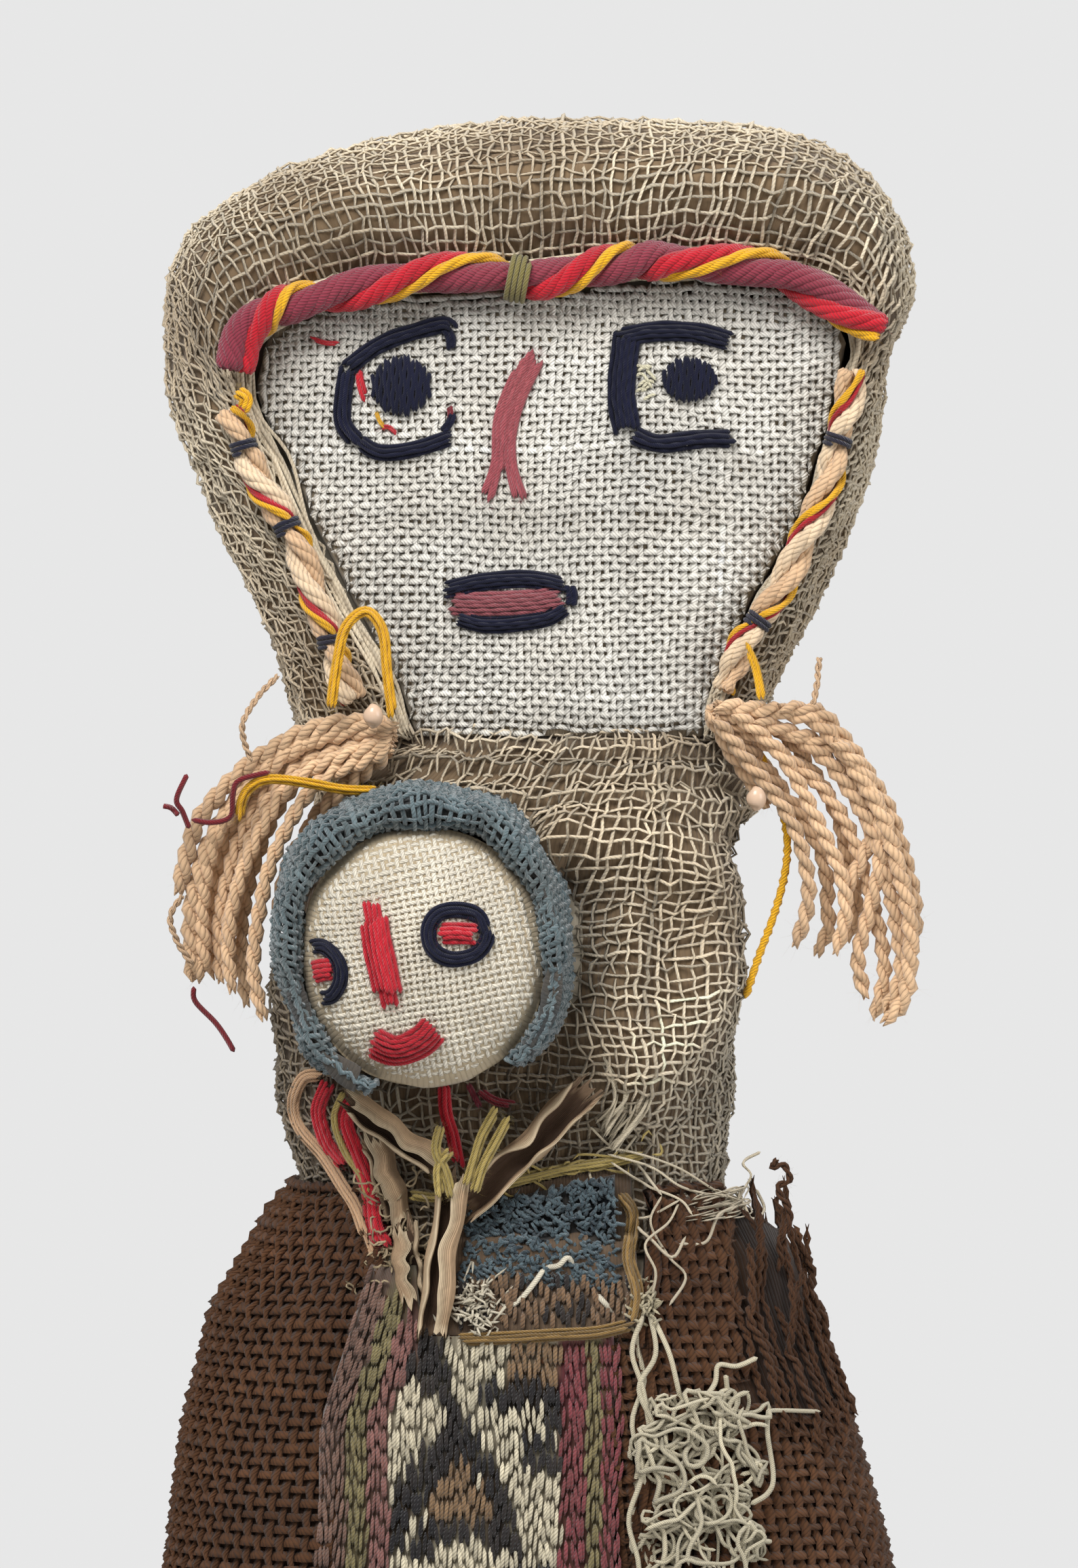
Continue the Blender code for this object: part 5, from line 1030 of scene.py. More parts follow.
def sewn(route, width, yarns, tint, surface, proud=0.55, dome=0.5, seed=0, count=40, spread=0.10):
    """Yarns side by side along a route on a surface seen from the front."""
    draw = np.random.default_rng(seed)
    middle = flow(route, count)
    heading = unit(np.gradient(middle, axis=0))
    across = np.column_stack([-heading[:, 1], heading[:, 0]])
    radius = width / yarns * 0.62
    for number in range(yarns):
        place = 0.0 if yarns == 1 else number / (yarns - 1) * 2 - 1
        begin, stop = int(draw.integers(0, 3)), count - int(draw.integers(0, 3))
        wander = 0.10 * width * slow_noise(np.arange(count), 0.0, 16, seed + number) / max(yarns, 2)
        flat = middle + across * (place * (width / 2 - radius) + wander)[:, None]
        lift = proud + dome * (1 - place ** 2) + 0.08 * np.sin(np.arange(count) * 1.1 + number * 2.0)
        skeins.tubes(laid(flat, surface, lift)[begin:stop], radius, tint * (1 + draw.normal(0, spread)), 5)
    spots = int(16 * run_of(middle)[-1] * max(width, 1.0)) if width > 0.5 else 0
    pick, place = draw.integers(0, count, spots), draw.uniform(-0.5, 0.5, spots)
    flat = middle[pick] + across[pick] * (place * width)[:, None]
    lift = proud + dome * (1 - (2 * place) ** 2)
    beside = np.column_stack([across[pick, 0] * place * 2.6, np.full(spots, -0.35), across[pick, 1] * place * 2.6])
    fuzz(laid(flat, surface, lift), beside + heading[pick][:, [0, 0, 1]] * draw.normal(0, 0.8, (spots, 1)) * [1, 0, 1],
         0.85, tint * 1.35, 0.055, seed + 60)


def filled(centre, wide, high, yarn, tint, surface, seed, proud=0.5, dome=0.8):
    """A disc of upright satin stitches."""
    draw = np.random.default_rng(seed)
    for x in np.arange(-wide / 2 + yarn / 2, wide / 2, yarn * 0.78):
        half = high / 2 * math.sqrt(max(0.05, 1 - (2 * x / wide) ** 2)) * draw.uniform(0.92, 1.06)
        z = np.linspace(-half, half, 14)
        stitch = np.column_stack([centre[0] + x + 0.12 * np.sin(z * 2 + x * 5), centre[1] + z])
        shape = np.sqrt(np.clip(1 - (z / (half + 0.2)) ** 2, 0, 1)) * (1 - (2 * x / wide) ** 2 * 0.7)
        skeins.tubes(laid(stitch, surface, proud + dome * shape), yarn * 0.52, tint * (1 + draw.normal(0, 0.12)), 6)
    count = int(wide * high * 5)
    spot = draw.uniform(0, 2 * math.pi, count)
    reach = np.sqrt(draw.uniform(0, 1, count))
    spots = np.column_stack([centre[0] + np.cos(spot) * reach * wide / 2, centre[1] + np.sin(spot) * reach * high / 2])
    fuzz(laid(spots, surface, proud + dome * 0.6), np.tile([0.0, -1.0, 0.0], (count, 1)), 0.9, tint * 1.4, 0.03, seed + 1)


navy_wool = fibre_material("Navy wool", plies=3.0, twist=0.6, dust=0.05, dust_colour=(50, 54, 84), spots=110.0,
                           ply_shade=0.3, sheen=0.1)
sewn(picture((505, 548), (560, 508), (610, 490), (654, 479), (668, 490)), 2.2, 4, NAVY, face_front, seed=201)
sewn(picture((655, 484), (664, 500), (664, 520)), 1.3, 2, NAVY, face_front, seed=202, count=14)
sewn(picture((512, 538), (506, 580), (506, 625), (530, 655)), 2.3, 4, NAVY, face_front, seed=203, count=26)
sewn(picture((524, 648), (560, 668), (615, 662), (668, 645)), 2.1, 4, NAVY, face_front, seed=204, count=30)
sewn(picture((650, 640), (664, 622), (667, 603)), 1.1, 2, NAVY, face_front, seed=205, count=14)
skeins.piece("left_eye_yarn", navy_wool, "navy_yarn", "left_eye_rim")
sewn(picture((908, 500), (960, 490), (1020, 490), (1084, 505)), 2.6, 5, NAVY, face_front, seed=206)
sewn(picture((925, 490), (918, 540), (916, 590), (925, 640)), 3.6, 6, NAVY, face_front, seed=207)
sewn(picture((925, 638), (970, 655), (1030, 648), (1086, 647)), 2.4, 4, NAVY, face_front, seed=208)
skeins.piece("right_eye_yarn", navy_wool, "navy_yarn", "right_eye_rim")
for name, place, wide, high, seed in (("left_pupil", (591, 569), 7.4, 7.6, 211),
                                      ("right_pupil", (1016, 560), 6.6, 5.8, 212)):
    filled(picture(place)[0], wide, high, 0.62, NAVY, face_front, seed)
    skeins.piece(name + "_yarn", navy_wool, "navy_yarn", name)

for number, (start, stop) in enumerate(zip(
        ((766, 534), (775, 522), (784, 514), (793, 516), (801, 524)),
        ((708, 742), (720, 750), (738, 704), (764, 750), (776, 744)))):
    middle_way, lower = (748 + (number - 2) * 7, 612), (742 + (number - 2) * 7, 684)
    sewn(picture(start, middle_way, lower, stop), 1.0, 2, ROSE, face_front, 0.6, 0.35, 220 + number, 34)
skeins.piece("nose_yarn", wool, "rose_yarn", "nose")

sewn(picture((652, 872), (710, 859), (780, 855), (836, 866)), 2.3, 5, NAVY, face_front, seed=231)
sewn(picture((670, 910), (719, 922), (800, 914), (838, 894)), 2.2, 5, NAVY, face_front, seed=232)
sewn(picture((836, 862), (843, 876), (841, 894)), 1.5, 2, NAVY, face_front, seed=233, count=14)
skeins.piece("mouth_rim_yarn", navy_wool, "navy_yarn", "mouth_rim")
sewn(picture((660, 890), (720, 891), (780, 888), (832, 881)), 3.1, 6, LIP, face_front, 0.55, 0.35, 234)
skeins.piece("lips_yarn", wool, "dull_rose_yarn", "lips")

for route, width, colour, seed in (
        (picture((528, 545), (532, 570), (540, 592)), 1.1, RED, 241),
        (picture((663, 596), (664, 622)), 0.9, shade(130, 30, 45), 242),
        (picture((552, 600), (560, 622), (572, 634)), 0.6, YELLOW, 243),
        (picture((556, 634), (572, 630), (586, 642)), 0.6, RED, 244),
        (picture((455, 497), (478, 505), (500, 506)), 0.7, RED, 245)):
    sewn(route, width, 2, colour, face_front, 0.45, 0.15, seed, 12)
skeins.piece("red_darning", wool, "red_yarn")
for number in range(9):
    x, z = picture((946 + 6 * (number % 3), 545 + 11 * (number // 2)))[0]
    bend = rng.normal(0, 0.5, (2, 2))
    sewn([(x - 1.0, z + bend[0, 0]), (x, z + 0.4), (x + 1.0, z + bend[1, 0])], 0.35, 1, shade(226, 220, 190),
         face_front, 0.4, 0.1, 250 + number, 10)
skeins.piece("worn_eye_threads", face_thread, "white_cloth")

# Embroidery on the small figure: red nose and mouth, and navy eyes filled with red.
red = shade(200, 26, 44)
sewn(picture((551, 1319), (557, 1360), (568, 1420), (582, 1484)), 2.2, 4, red, baby_front, 0.5, 0.5, 261, 36)
sewn(picture((556, 1348), (562, 1390), (570, 1428), (578, 1462)), 3.7, 7, red, baby_front, 0.8, 0.7, 268, 28)
skeins.piece("baby_nose_yarn", red_wool, "red_yarn", "baby_nose")
sewn(picture((550, 1527), (585, 1542), (622, 1530), (648, 1504)), 3.9, 7, red * 0.82, baby_front, 0.5, 0.6, 262, 30)
skeins.piece("baby_mouth_yarn", red_wool, "red_yarn", "baby_mouth")
sewn(picture((719, 1374), (706, 1346), (678, 1338), (650, 1343), (636, 1364), (640, 1392), (664, 1408), (698, 1404),
                     (717, 1386), (722, 1366)), 2.0, 4, NAVY, baby_front, 0.5, 0.5, 263, 52)
skeins.piece("baby_right_eye_rim_yarn", navy_wool, "navy_yarn", "baby_right_eye_rim")
sewn(picture((648, 1372), (676, 1371), (706, 1374)), 2.7, 5, red, baby_front, 0.5, 0.6, 265, 20)
skeins.piece("baby_right_eye_yarn", red_wool, "red_yarn", "baby_right_eye")
sewn(picture((462, 1392), (484, 1392), (504, 1412), (508, 1440), (496, 1462), (478, 1466)), 1.9, 4, NAVY, baby_front,
     0.5, 0.5, 266, 34)
skeins.piece("baby_left_eye_rim_yarn", navy_wool, "navy_yarn", "baby_left_eye")
sewn(picture((466, 1430), (482, 1426), (498, 1424)), 2.8, 5, red, baby_front, 0.5, 0.5, 267, 16)
skeins.piece("baby_left_eye_yarn", red_wool, "red_yarn")

# Woven panel: three strips of old figured cloth sewn side by side on the tunic's front. Its warps
# float in short upright stitches, in stripes beside a field of stepped black, white and tan figures.
PANEL_LEFT, PANEL_STRIPES, PANEL_FIELD, PANEL_BORDER, PANEL_TOP, PANEL_RISE = -25.2, 8.7, 20.5, 7.4, 141.0, 9.5
PANEL_CORNER, PANEL_LEAN_FROM, PANEL_LEAN, PANEL_FOOT = -10.5, 130.0, 0.33, 1.5
MAUVE, MOSS, PINKISH, MADDER = shade(116, 88, 76), shade(122, 112, 76), shade(130, 88, 82), shade(122, 56, 62)
BLACK, CHALK, TAN = shade(27, 24, 26), shade(204, 194, 168), shade(128, 102, 74)
FIGURES = [
    (BLACK, ((345, 690), (500, 700), (505, 800), (560, 880), (520, 960), (470, 900), (430, 860), (345, 850))),
    (CHALK, ((495, 700), (740, 720), (680, 830), (600, 880), (590, 960), (545, 900), (500, 800))),
    (TAN, ((690, 720), (845, 720), (845, 850), (720, 850), (680, 830))),
    (BLACK, ((590, 870), (690, 840), (845, 850), (845, 1000), (790, 1000), (780, 920), (620, 915))),
    (CHALK, ((345, 850), (430, 860), (520, 950), (440, 1030), (345, 1180))),
    (CHALK, ((590, 920), (785, 920), (730, 1000), (700, 1100), (650, 1080), (600, 1000))),
    (BLACK, ((730, 1000), (845, 1030), (845, 1110), (720, 1110))),
    (CHALK, ((690, 1100), (850, 1110), (845, 1180), (790, 1180), (790, 1230), (850, 1240), (845, 1395), (770, 1395),
             (700, 1260))),
    (BLACK, ((545, 945), (575, 960), (640, 1080), (720, 1290), (770, 1395), (690, 1395), (655, 1250), (620, 1150),
             (545, 1070), (470, 1160), (400, 1260), (345, 1290), (345, 1190), (440, 1040))),
    (TAN, ((545, 1075), (620, 1160), (660, 1260), (440, 1270), (470, 1160))),
    (BLACK, ((430, 1255), (660, 1255), (690, 1395), (640, 1395), (610, 1310), (480, 1310), (440, 1395), (380, 1395))),
    (CHALK, ((480, 1310), (610, 1310), (625, 1395), (560, 1395), (545, 1350), (520, 1395), (450, 1395))),
    (BLACK, ((345, 1290), (380, 1280), (400, 1395), (345, 1395))),
]
REPEAT_TOP, REPEAT_HIGH = 143.6, 29.6
# The figures' corners are counted from this place in the picture, in finer pixels
FIGURES_LEFT, FIGURES_TOP, FIGURES_ZOOM = 400, 1600, 1.96


def within(x, z, corners):
    """Whether places lie inside a polygon."""
    inside = np.zeros(x.shape, bool)
    for (x0, z0), (x1, z1) in zip(corners, corners[1:] + corners[:1]):
        crossed = (z0 > z) != (z1 > z)
        with np.errstate(divide="ignore", invalid="ignore"):
            inside ^= crossed & (x < (x1 - x0) * (z - z0) / (z1 - z0 + 1e-12) + x0)
    return inside


def panel_tint(x, z):
    """Colour of the panel's warps at a place on its front."""
    from_left = x - (PANEL_LEFT + np.maximum(0.0, z - PANEL_LEAN_FROM) * PANEL_LEAN)
    tint = np.empty(x.shape + (3,))
    tint[:] = MAUVE
    tint[(from_left > 3.6) & (from_left <= 6.2)] = MOSS
    tint[(from_left > 6.2) & (from_left <= 8.9)] = PINKISH
    field_left, field_right = PANEL_LEFT + PANEL_STRIPES, PANEL_LEFT + PANEL_STRIPES + PANEL_FIELD + 0.6
    field = (from_left > 8.9) & (x < field_right)
    tint[field] = CHALK
    turn = (REPEAT_TOP - z) / REPEAT_HIGH
    zz = REPEAT_TOP - (turn - np.floor(turn)) * REPEAT_HIGH
    flip = np.floor(turn).astype(int) % 2 == 1
    xx = np.where(flip, field_left + field_right - x, x)
    for colour, corners in FIGURES:
        shape = picture(*((FIGURES_LEFT + along / FIGURES_ZOOM, FIGURES_TOP + down / FIGURES_ZOOM)
                          for along, down in corners))
        tint[field & within(xx, zz, shape)] = colour
    rose = x >= field_right
    tint[rose] = MADDER
    tint[rose & (x > field_right + 3.0) & (x < field_right + 4.9)] = MOSS
    return tint


panel_thread = fibre_material("Panel wool", plies=2.0, twist=0.5, dust=0.14, dust_colour=(120, 100, 78), spots=80.0,
                              ply_shade=0.45)
right_edge_x = PANEL_LEFT + PANEL_STRIPES + PANEL_FIELD + PANEL_BORDER + 0.8
px, pz = np.meshgrid(np.arange(PANEL_LEFT + 0.3, right_edge_x, 0.54), np.arange(PANEL_FOOT, 151.0, 0.95),
                     indexing="ij")
px = px + np.where(px < -14, np.maximum(0.0, pz - PANEL_LEAN_FROM) * PANEL_LEAN * np.clip((-px - 13) / 11, 0, 1), 0.0)
px = px + 0.25 * slow_noise(px, pz, 30, 91) + rng.normal(0, 0.05, px.shape)
rise = np.minimum(PANEL_RISE, (PANEL_CORNER - px) * PANEL_RISE / PANEL_STRIPES)
top = np.where(px < PANEL_CORNER, PANEL_TOP + rise, PANEL_TOP)
shown = pz < top + 0.5
depth = tunic_front(px, pz) - 1.25
panel_grid = np.stack([px, depth + 0.25 * slow_noise(px, pz, 22, 92), pz], -1)
panel_out = np.zeros_like(panel_grid)
panel_out[..., 1] = -1.0
colours = panel_tint(px, pz) * (1 + rng.normal(0, 0.10, px.shape))[..., None]


def float_stitches(grid, tint, shown, radius, seed, long=3):
    """Warps that float over several wefts in upright stitches, each row of them set off from the last."""
    draw = np.random.default_rng(seed)
    columns, rows = grid.shape[:2]
    bow = np.array([-0.10, 0.38, 0.38, -0.10])
    paths, colours = [], []
    for column in range(columns):
        row = (column * 2) % long
        while row + long < rows:
            if shown[column, row + long]:
                ends = grid[column, row], grid[column, row + long]
                t = np.array([0.0, 0.25, 0.75, 1.0])[:, None]
                path = ends[0] * (1 - t) + ends[1] * t
                path[:, 1] -= bow * draw.uniform(0.75, 1.2)
                path[:, 0] += draw.normal(0, 0.09) + 0.10 * np.sin(t[:, 0] * 3.1 + column)
                paths.append(path)
                colours.append(tint[column, min(row + long // 2, rows - 1)] * draw.uniform(0.86, 1.14))
            row += long - (1 if draw.uniform() < 0.12 else 0)
    girth = np.array([0.7, 1.05, 1.05, 0.7]) * radius
    skeins.tubes(np.array(paths), np.tile(girth, (len(paths), 1)) * draw.uniform(0.85, 1.15, (len(paths), 1)),
                 np.array(colours), 4)


leaning = np.maximum(0.0, pz - PANEL_LEAN_FROM) * PANEL_LEAN
strips = (("panel_left_stripes", px < PANEL_LEFT + PANEL_STRIPES + 0.1 + leaning, "striped_cloth"),
          ("panel_right_stripes", px > PANEL_LEFT + PANEL_STRIPES + PANEL_FIELD + 0.6, "rose_striped_cloth"),
          ("panel_figured_strip", None, "figured_cloth"))
taken = np.zeros(px.shape, bool)
for name, where, slot_name in strips:
    mine = (~taken) if where is None else (where & ~taken)
    taken |= mine
    float_stitches(panel_grid, colours, shown & mine, 0.30 if where is not None else 0.32, 93)
    skeins.piece(name + "_floats", panel_thread, slot_name)
lines = []
for x0 in np.arange(PANEL_LEFT + 0.3, right_edge_x - 0.2, 0.9):
    share = float(np.clip((-x0 - 13) / 11, 0, 1))
    zline = np.linspace(PANEL_FOOT, PANEL_TOP if x0 > PANEL_CORNER - 2 else PANEL_TOP + PANEL_RISE * 0.9, 34)
    xline = x0 + np.maximum(0.0, zline - PANEL_LEAN_FROM) * PANEL_LEAN * share
    lines.append(laid(np.column_stack([xline, zline]), tunic_front, 0.95))
lines = np.array(lines)
# Painted shade: the ground under the floats takes the panel's colours at about half brightness, as the shade between
# the stitches.
skeins.patch(lines, panel_tint(lines[..., 0], lines[..., 2]) * 0.55)
panel_ground = thicken(skeins.piece("panel_ground", backing, "figured_cloth", "panel_left_stripes",
                                    "panel_figured_strip", "panel_right_stripes"), 0.5)

# Reeds: split lengths of cane that stand for the small figure's arms and body. Their skin is pale,
# the inside of each split is painted dark as the shade in its hollow, and the two broken ones end in splinters.
REED_SKIN, REED_PALE, REED_HOLLOW_SHADE = shade(178, 150, 120), shade(222, 202, 170), shade(84, 64, 52)
reed_material = fibre_material("Cane", plies=9.0, twist=0.0, depth=0.0002, dust=0.25, dust_colour=(120, 98, 74),
                               ply_shade=0.7, roughness=0.6, sheen=0.0)


def split_reed(start, end, radius, slit, facing, ragged, seed):
    """A reed with a slit along it: a wall bent to an open ring, splintered at its ends."""
    draw = np.random.default_rng(seed)
    start, end = np.asarray(start, float), np.asarray(end, float)
    along = unit(end - start)
    side = unit(np.cross(along, (0.0, -1.0, 0.0)))
    up = np.cross(side, along)
    around, count = 22, 34
    opening = math.radians(slit) / 2
    splinter = draw.uniform(0, 1, (2, around)) ** 2 * ragged + 0.15 * draw.uniform(0, 1, (2, around))
    grain = draw.normal(0, 1, around)
    long, bow = np.linalg.norm(end - start), draw.uniform(-0.5, 0.5)
    outer, inner, outer_tint, inner_tint = [], [], [], []
    for share in np.linspace(0, 1, count):
        from_ends = np.where(share < 0.5, -splinter[0] * (1 - 2 * share) ** 6, splinter[1] * (2 * share - 1) ** 6)
        sway = bow * math.sin(math.pi * share) + 0.16 * math.sin(13 * share + seed)
        middle = start + along * (share * long) + side * sway
        gape = opening * (1 + 0.35 * math.sin(7 * share + seed) + 0.25 * math.sin(19 * share + 2 * seed))
        angle = np.linspace(gape, 2 * math.pi - gape, around) + math.radians(facing)
        wall = 0.42 * (0.25 if share in (0.0, 1.0) else 1.0)
        swell = radius * (1 + 0.06 * math.sin(share * 9 + seed) + 0.05 * grain)
        spokes = np.cos(angle)[:, None] * side + np.sin(angle)[:, None] * up
        outer.append(middle + spokes * swell[:, None] + from_ends[:, None] * along)
        inner.append(middle + spokes * (swell - wall)[:, None] + from_ends[:, None] * along)
        streak = (1 + 0.16 * grain + 0.06 * draw.normal(0, 1, around))[:, None]
        edge = np.clip(1 - np.minimum(np.arange(around), around - 1 - np.arange(around)) / 2.5, 0, 1)[:, None]
        pale = np.clip(edge + (0.6 if min(share, 1 - share) < 0.05 else 0.0), 0, 1)
        outer_tint.append((REED_SKIN * (1 - pale) + REED_PALE * pale) * streak)
        # Painted shade: the inside of the wall is dark, lighter towards the slit's edges.
        inner_tint.append((REED_HOLLOW_SHADE * (1 - pale * 0.7) + REED_SKIN * pale * 0.7) * streak)
    ring = np.concatenate([np.array(outer), np.array(inner)[:, ::-1]], axis=1)
    colour = np.concatenate([np.array(outer_tint), np.array(inner_tint)[:, ::-1]], axis=1)
    skeins.patch(ring.transpose(1, 0, 2)[::-1], colour.transpose(1, 0, 2)[::-1], scale=0.12, around=True)


def depth_of(node):
    """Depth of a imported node's middle, in millimetres."""
    low_corner, high_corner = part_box(node)
    return (low_corner[1] + high_corner[1]) / 2 / MM


for name, start, end, radius, slit, facing, ragged, seed in (
        ("left_arm_reed", (-20.2, 169.2), (-10.8, 162.4), 1.7, 50, 50, 2.6, 301),
        ("right_arm_reed", (-6.8, 157.4), (7.0, 170.4), 1.95, 110, 76, 3.0, 302),
        ("body_reed", (-8.4, 159.6), (-10.9, 142.0), 1.85, 44, 68, 2.4, 303),
        ("broken_reed_upper", (-17.9, 164.0), (-15.2, 155.4), 1.75, 60, 20, 3.2, 304),
        ("broken_reed_lower", (-14.4, 153.2), (-13.5, 146.2), 1.65, 60, 130, 3.2, 305)):
    y = depth_of(name)
    split_reed((start[0], y, start[1]), (end[0], y, end[1]), radius, slit, facing, ragged, seed)
    skeins.piece(name + "_split", reed_material, "reed", name)
draw = np.random.default_rng(306)
curls = []
for place, count in (((580, 1778), 26), ((588, 1856), 44), ((572, 1896), 26)):
    x, z = picture(place)[0]
    y = depth_of("broken_reed_upper") - 0.8
    for _ in range(count):
        begin = np.array([x, y, z]) + draw.normal(0, 1, 3) * [1.7, 0.7, 1.5]
        bend = np.cumsum(draw.normal(0, 0.42, (7, 3)) * [1, 0.6, 1] + draw.normal(0, 0.25, 3) * [1, 0.4, 1], axis=0)
        curls.append(begin + bend)
skeins.tubes(np.array([flow(curl, 12) for curl in curls]), 0.15,
             shade(230, 208, 170) * draw.uniform(0.7, 1.15, (len(curls), 1)), 4)
skeins.piece("reed_splinters", reed_material, "reed")
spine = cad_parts["spine_reed"].data
spine.materials.clear()
spine.materials.append(fibre_material("Whole cane", plies=9.0, twist=0.0, depth=0.0002, dust=0.3,
                                      dust_colour=(120, 98, 74), ply_shade=0.7, roughness=0.6, sheen=0.0, plain=REED_SKIN))

# Sleeve and ties: what is left of the small figure's sleeve is a rolled peach edge with red and olive
# yarns inside it. Olive yarn lashes the reeds where they cross and runs over to the patch.
PEACH_ROLL, OCHRE, CREAM = shade(214, 172, 132), shade(140, 110, 60), shade(214, 204, 176)
OLIVE_YELLOW = shade(184, 162, 92)


def cloth_front(x, z):
    """The cloth that shows: the tunic below its neckline, and the gauze above it."""
    above = np.clip((z - neckline(x) - 0.5) / 4.0, 0.0, 1.0)
    stuffed = np.where(z < GAUZE_FOOT + 2.0, np.minimum(trunk_front(x, z), tunic_front(x, z) + 1.0), trunk_front(x, z))
    return tunic_front(x, z) * (1 - above) + stuffed * above


sewn(picture((476, 1586), (446, 1592), (430, 1630), (438, 1666), (474, 1706), (505, 1750), (524, 1778), (540, 1818)),
     1.7, 4, PEACH_ROLL, cloth_front, 0.8, 0.9, 311, 50)
sewn(picture((530, 1800), (543, 1826), (552, 1856)), 0.8, 2, PEACH_ROLL, cloth_front, 0.6, 0.4, 312, 16)
skeins.piece("sleeve_edge_roll", wool, "peach_yarn", "sleeve_edge")
for route, width, seed in ((picture((484, 1596), (468, 1640), (482, 1690), (508, 1722)), 2.0, 313),
                           (picture((520, 1618), (508, 1656), (524, 1702), (546, 1756), (552, 1806), (570, 1838)),
                            2.3, 314)):
    sewn(route, width, 4, red, cloth_front, 0.7, 0.6, seed, 40)
skeins.piece("sleeve_red_yarns", red_wool, "red_yarn", "sleeve_red")
sewn(picture((508, 1606), (492, 1650), (508, 1700), (534, 1736), (546, 1776)), 0.9, 2, OLIVE_YELLOW,
     cloth_front, 1.2, 0.3, 315, 40)
skeins.piece("sleeve_olive_yarn", wool, "olive_yarn")
sewn(picture((655, 1598), (658, 1641), (668, 1676), (678, 1722)), 1.7, 3, red,
     at_depth(depth_of("neck_yarn") - 0.3), 0.4, 0.5, 316, 24)
skeins.piece("neck_red_yarn", red_wool, "red_yarn", "neck_yarn")
sewn(picture((706, 1606), (730, 1622), (760, 1628)), 1.1, 3, shade(130, 30, 42), cloth_front, 1.0, 0.4, 317, 16)
sewn(picture((690, 1596), (712, 1640)), 0.8, 2, shade(110, 30, 44), cloth_front, 0.8, 0.3, 318, 12)
skeins.piece("neck_dark_red_yarn", red_wool, "red_yarn")
for name, routes, seed in (
        ("lashing_left", (picture((652, 1650), (644, 1690), (658, 1722), (668, 1764)),
                          picture((666, 1690), (648, 1716), (650, 1760))), 321),
        ("lashing_right", (picture((734, 1628), (712, 1668), (700, 1704), (688, 1742)),
                           picture((752, 1640), (730, 1680), (712, 1716), (700, 1752))), 322)):
    for number, route in enumerate(routes):
        sewn(route, 1.3, 3, OLIVE_YELLOW, at_depth(depth_of(name) + 0.2), 0.2, 0.5, seed + 10 * number, 26)
    skeins.piece(name + "_yarn", wool, "olive_yarn", name)
draw = np.random.default_rng(331)
band_way = picture((690, 1762), (757, 1740), (834, 1722), (900, 1712), (948, 1700))
sewn(band_way, 1.5, 4, OLIVE_YELLOW, cloth_front, 1.3, 0.6, 332, 40)
sewn(picture((604, 1760), (640, 1764), (672, 1756)), 1.3, 3, OLIVE_YELLOW, cloth_front, 2.4, 0.5, 333, 18)
for x, z in flow(band_way, 26):
    tips = draw.normal(0, 1, (2, 2)) * [1.6, 0.9]
    frayed_end = [(x, z), (x + tips[0, 0] + 1.4, z + tips[0, 1] + 0.5), (x + 3.2 + tips[1, 0], z + tips[1, 1] + 1.0)]
    sewn(frayed_end, 0.3, 1, OLIVE_YELLOW * 1.1, cloth_front, 1.3, 0.3, int(x * 9) + 400, 8)
skeins.piece("olive_band_yarn", wool, "olive_yarn", "olive_band")

# Patch: a square of looped blue-grey wool on the chest, over a strip of old tan cloth, with a fuzzy
# ochre yarn sewn along its right side and bottom.
BLUE_HIGH, BLUE_LOW, BLUE_GAP_SHADE = shade(96, 116, 124), shade(46, 62, 72), shade(30, 36, 42)
PATCH_SHAPE = picture((694, 1772), (760, 1762), (840, 1744), (908, 1728), (912, 1800), (910, 1905), (860, 1900),
                      (760, 1882), (680, 1884), (690, 1820))
patch_y = depth_of("blue_patch")
blue_wool = fibre_material("Blue wool", plies=2.0, twist=0.8, dust=0.12, dust_colour=(96, 104, 104), spots=70.0,
                           ply_shade=0.4)


def patch_depth(x, z):
    return np.minimum(cloth_front(x, z), patch_y) - 0.2


def base_between(name, slot_name, low_line, high_line, tint, depth, wall, *stands_for):
    """A thin backing between two lines drawn on the front."""
    low_line, high_line = flow(low_line, 30), flow(high_line, 30)
    share = np.linspace(0, 1, 16)[None, :, None]
    flat = low_line[:, None] * (1 - share) + high_line[:, None] * share
    skeins.patch(laid(flat, depth), tint)
    return thicken(skeins.piece(name, backing, slot_name, *stands_for), wall)


draw = np.random.default_rng(351)
x, z = draw.uniform(-8.0, 12.0, 3600), draw.uniform(143.0, 162.0, 3600)
keep = within(x, z, PATCH_SHAPE)
x, z = x[keep][:720], z[keep][:720]
lean = 1.9 + 0.6 * slow_noise(x, z, 8, 352) + draw.normal(0, 0.5, len(x))
t = np.linspace(0, 1, 5)
reach = draw.uniform(0.7, 1.5, (len(x), 1))
high = draw.uniform(0.7, 1.5, (len(x), 1))
curl = draw.normal(0, 0.35, (len(x), 1))
loops = np.stack([x[:, None] + reach * (t - 0.5) * np.cos(lean)[:, None] + curl * np.sin(t * 6.3),
                  patch_depth(x, z)[:, None] - high * np.sin(t * math.pi),
                  z[:, None] + reach * (t - 0.5) * np.sin(lean)[:, None] + curl * np.cos(t * 6.3) * 0.6], -1)
pick = draw.uniform(0, 1, (len(x), 1)) ** 0.8
skeins.tubes(loops, 0.24, BLUE_LOW * (1 - pick) + BLUE_HIGH * pick, 4)
fuzz(loops[:, 2], np.tile([0.0, -1.0, 0.0], (len(x), 1)), 0.9, BLUE_HIGH, 0.03, 353)
blue_loops = skeins.piece("blue_patch_loops", blue_wool, "blue_wool")
# Painted shade: the ground under the loops is near black and shows between them as shade.
patch_ground = base_between("blue_patch_ground", "blue_wool",
                            picture((684, 1882), (760, 1878), (850, 1896), (908, 1902)),
                            picture((696, 1772), (760, 1762), (840, 1745), (906, 1730)), BLUE_GAP_SHADE, patch_depth, 0.6,
                            "blue_patch")


def under_depth(x, z):
    return cloth_front(x, z) - 1.0


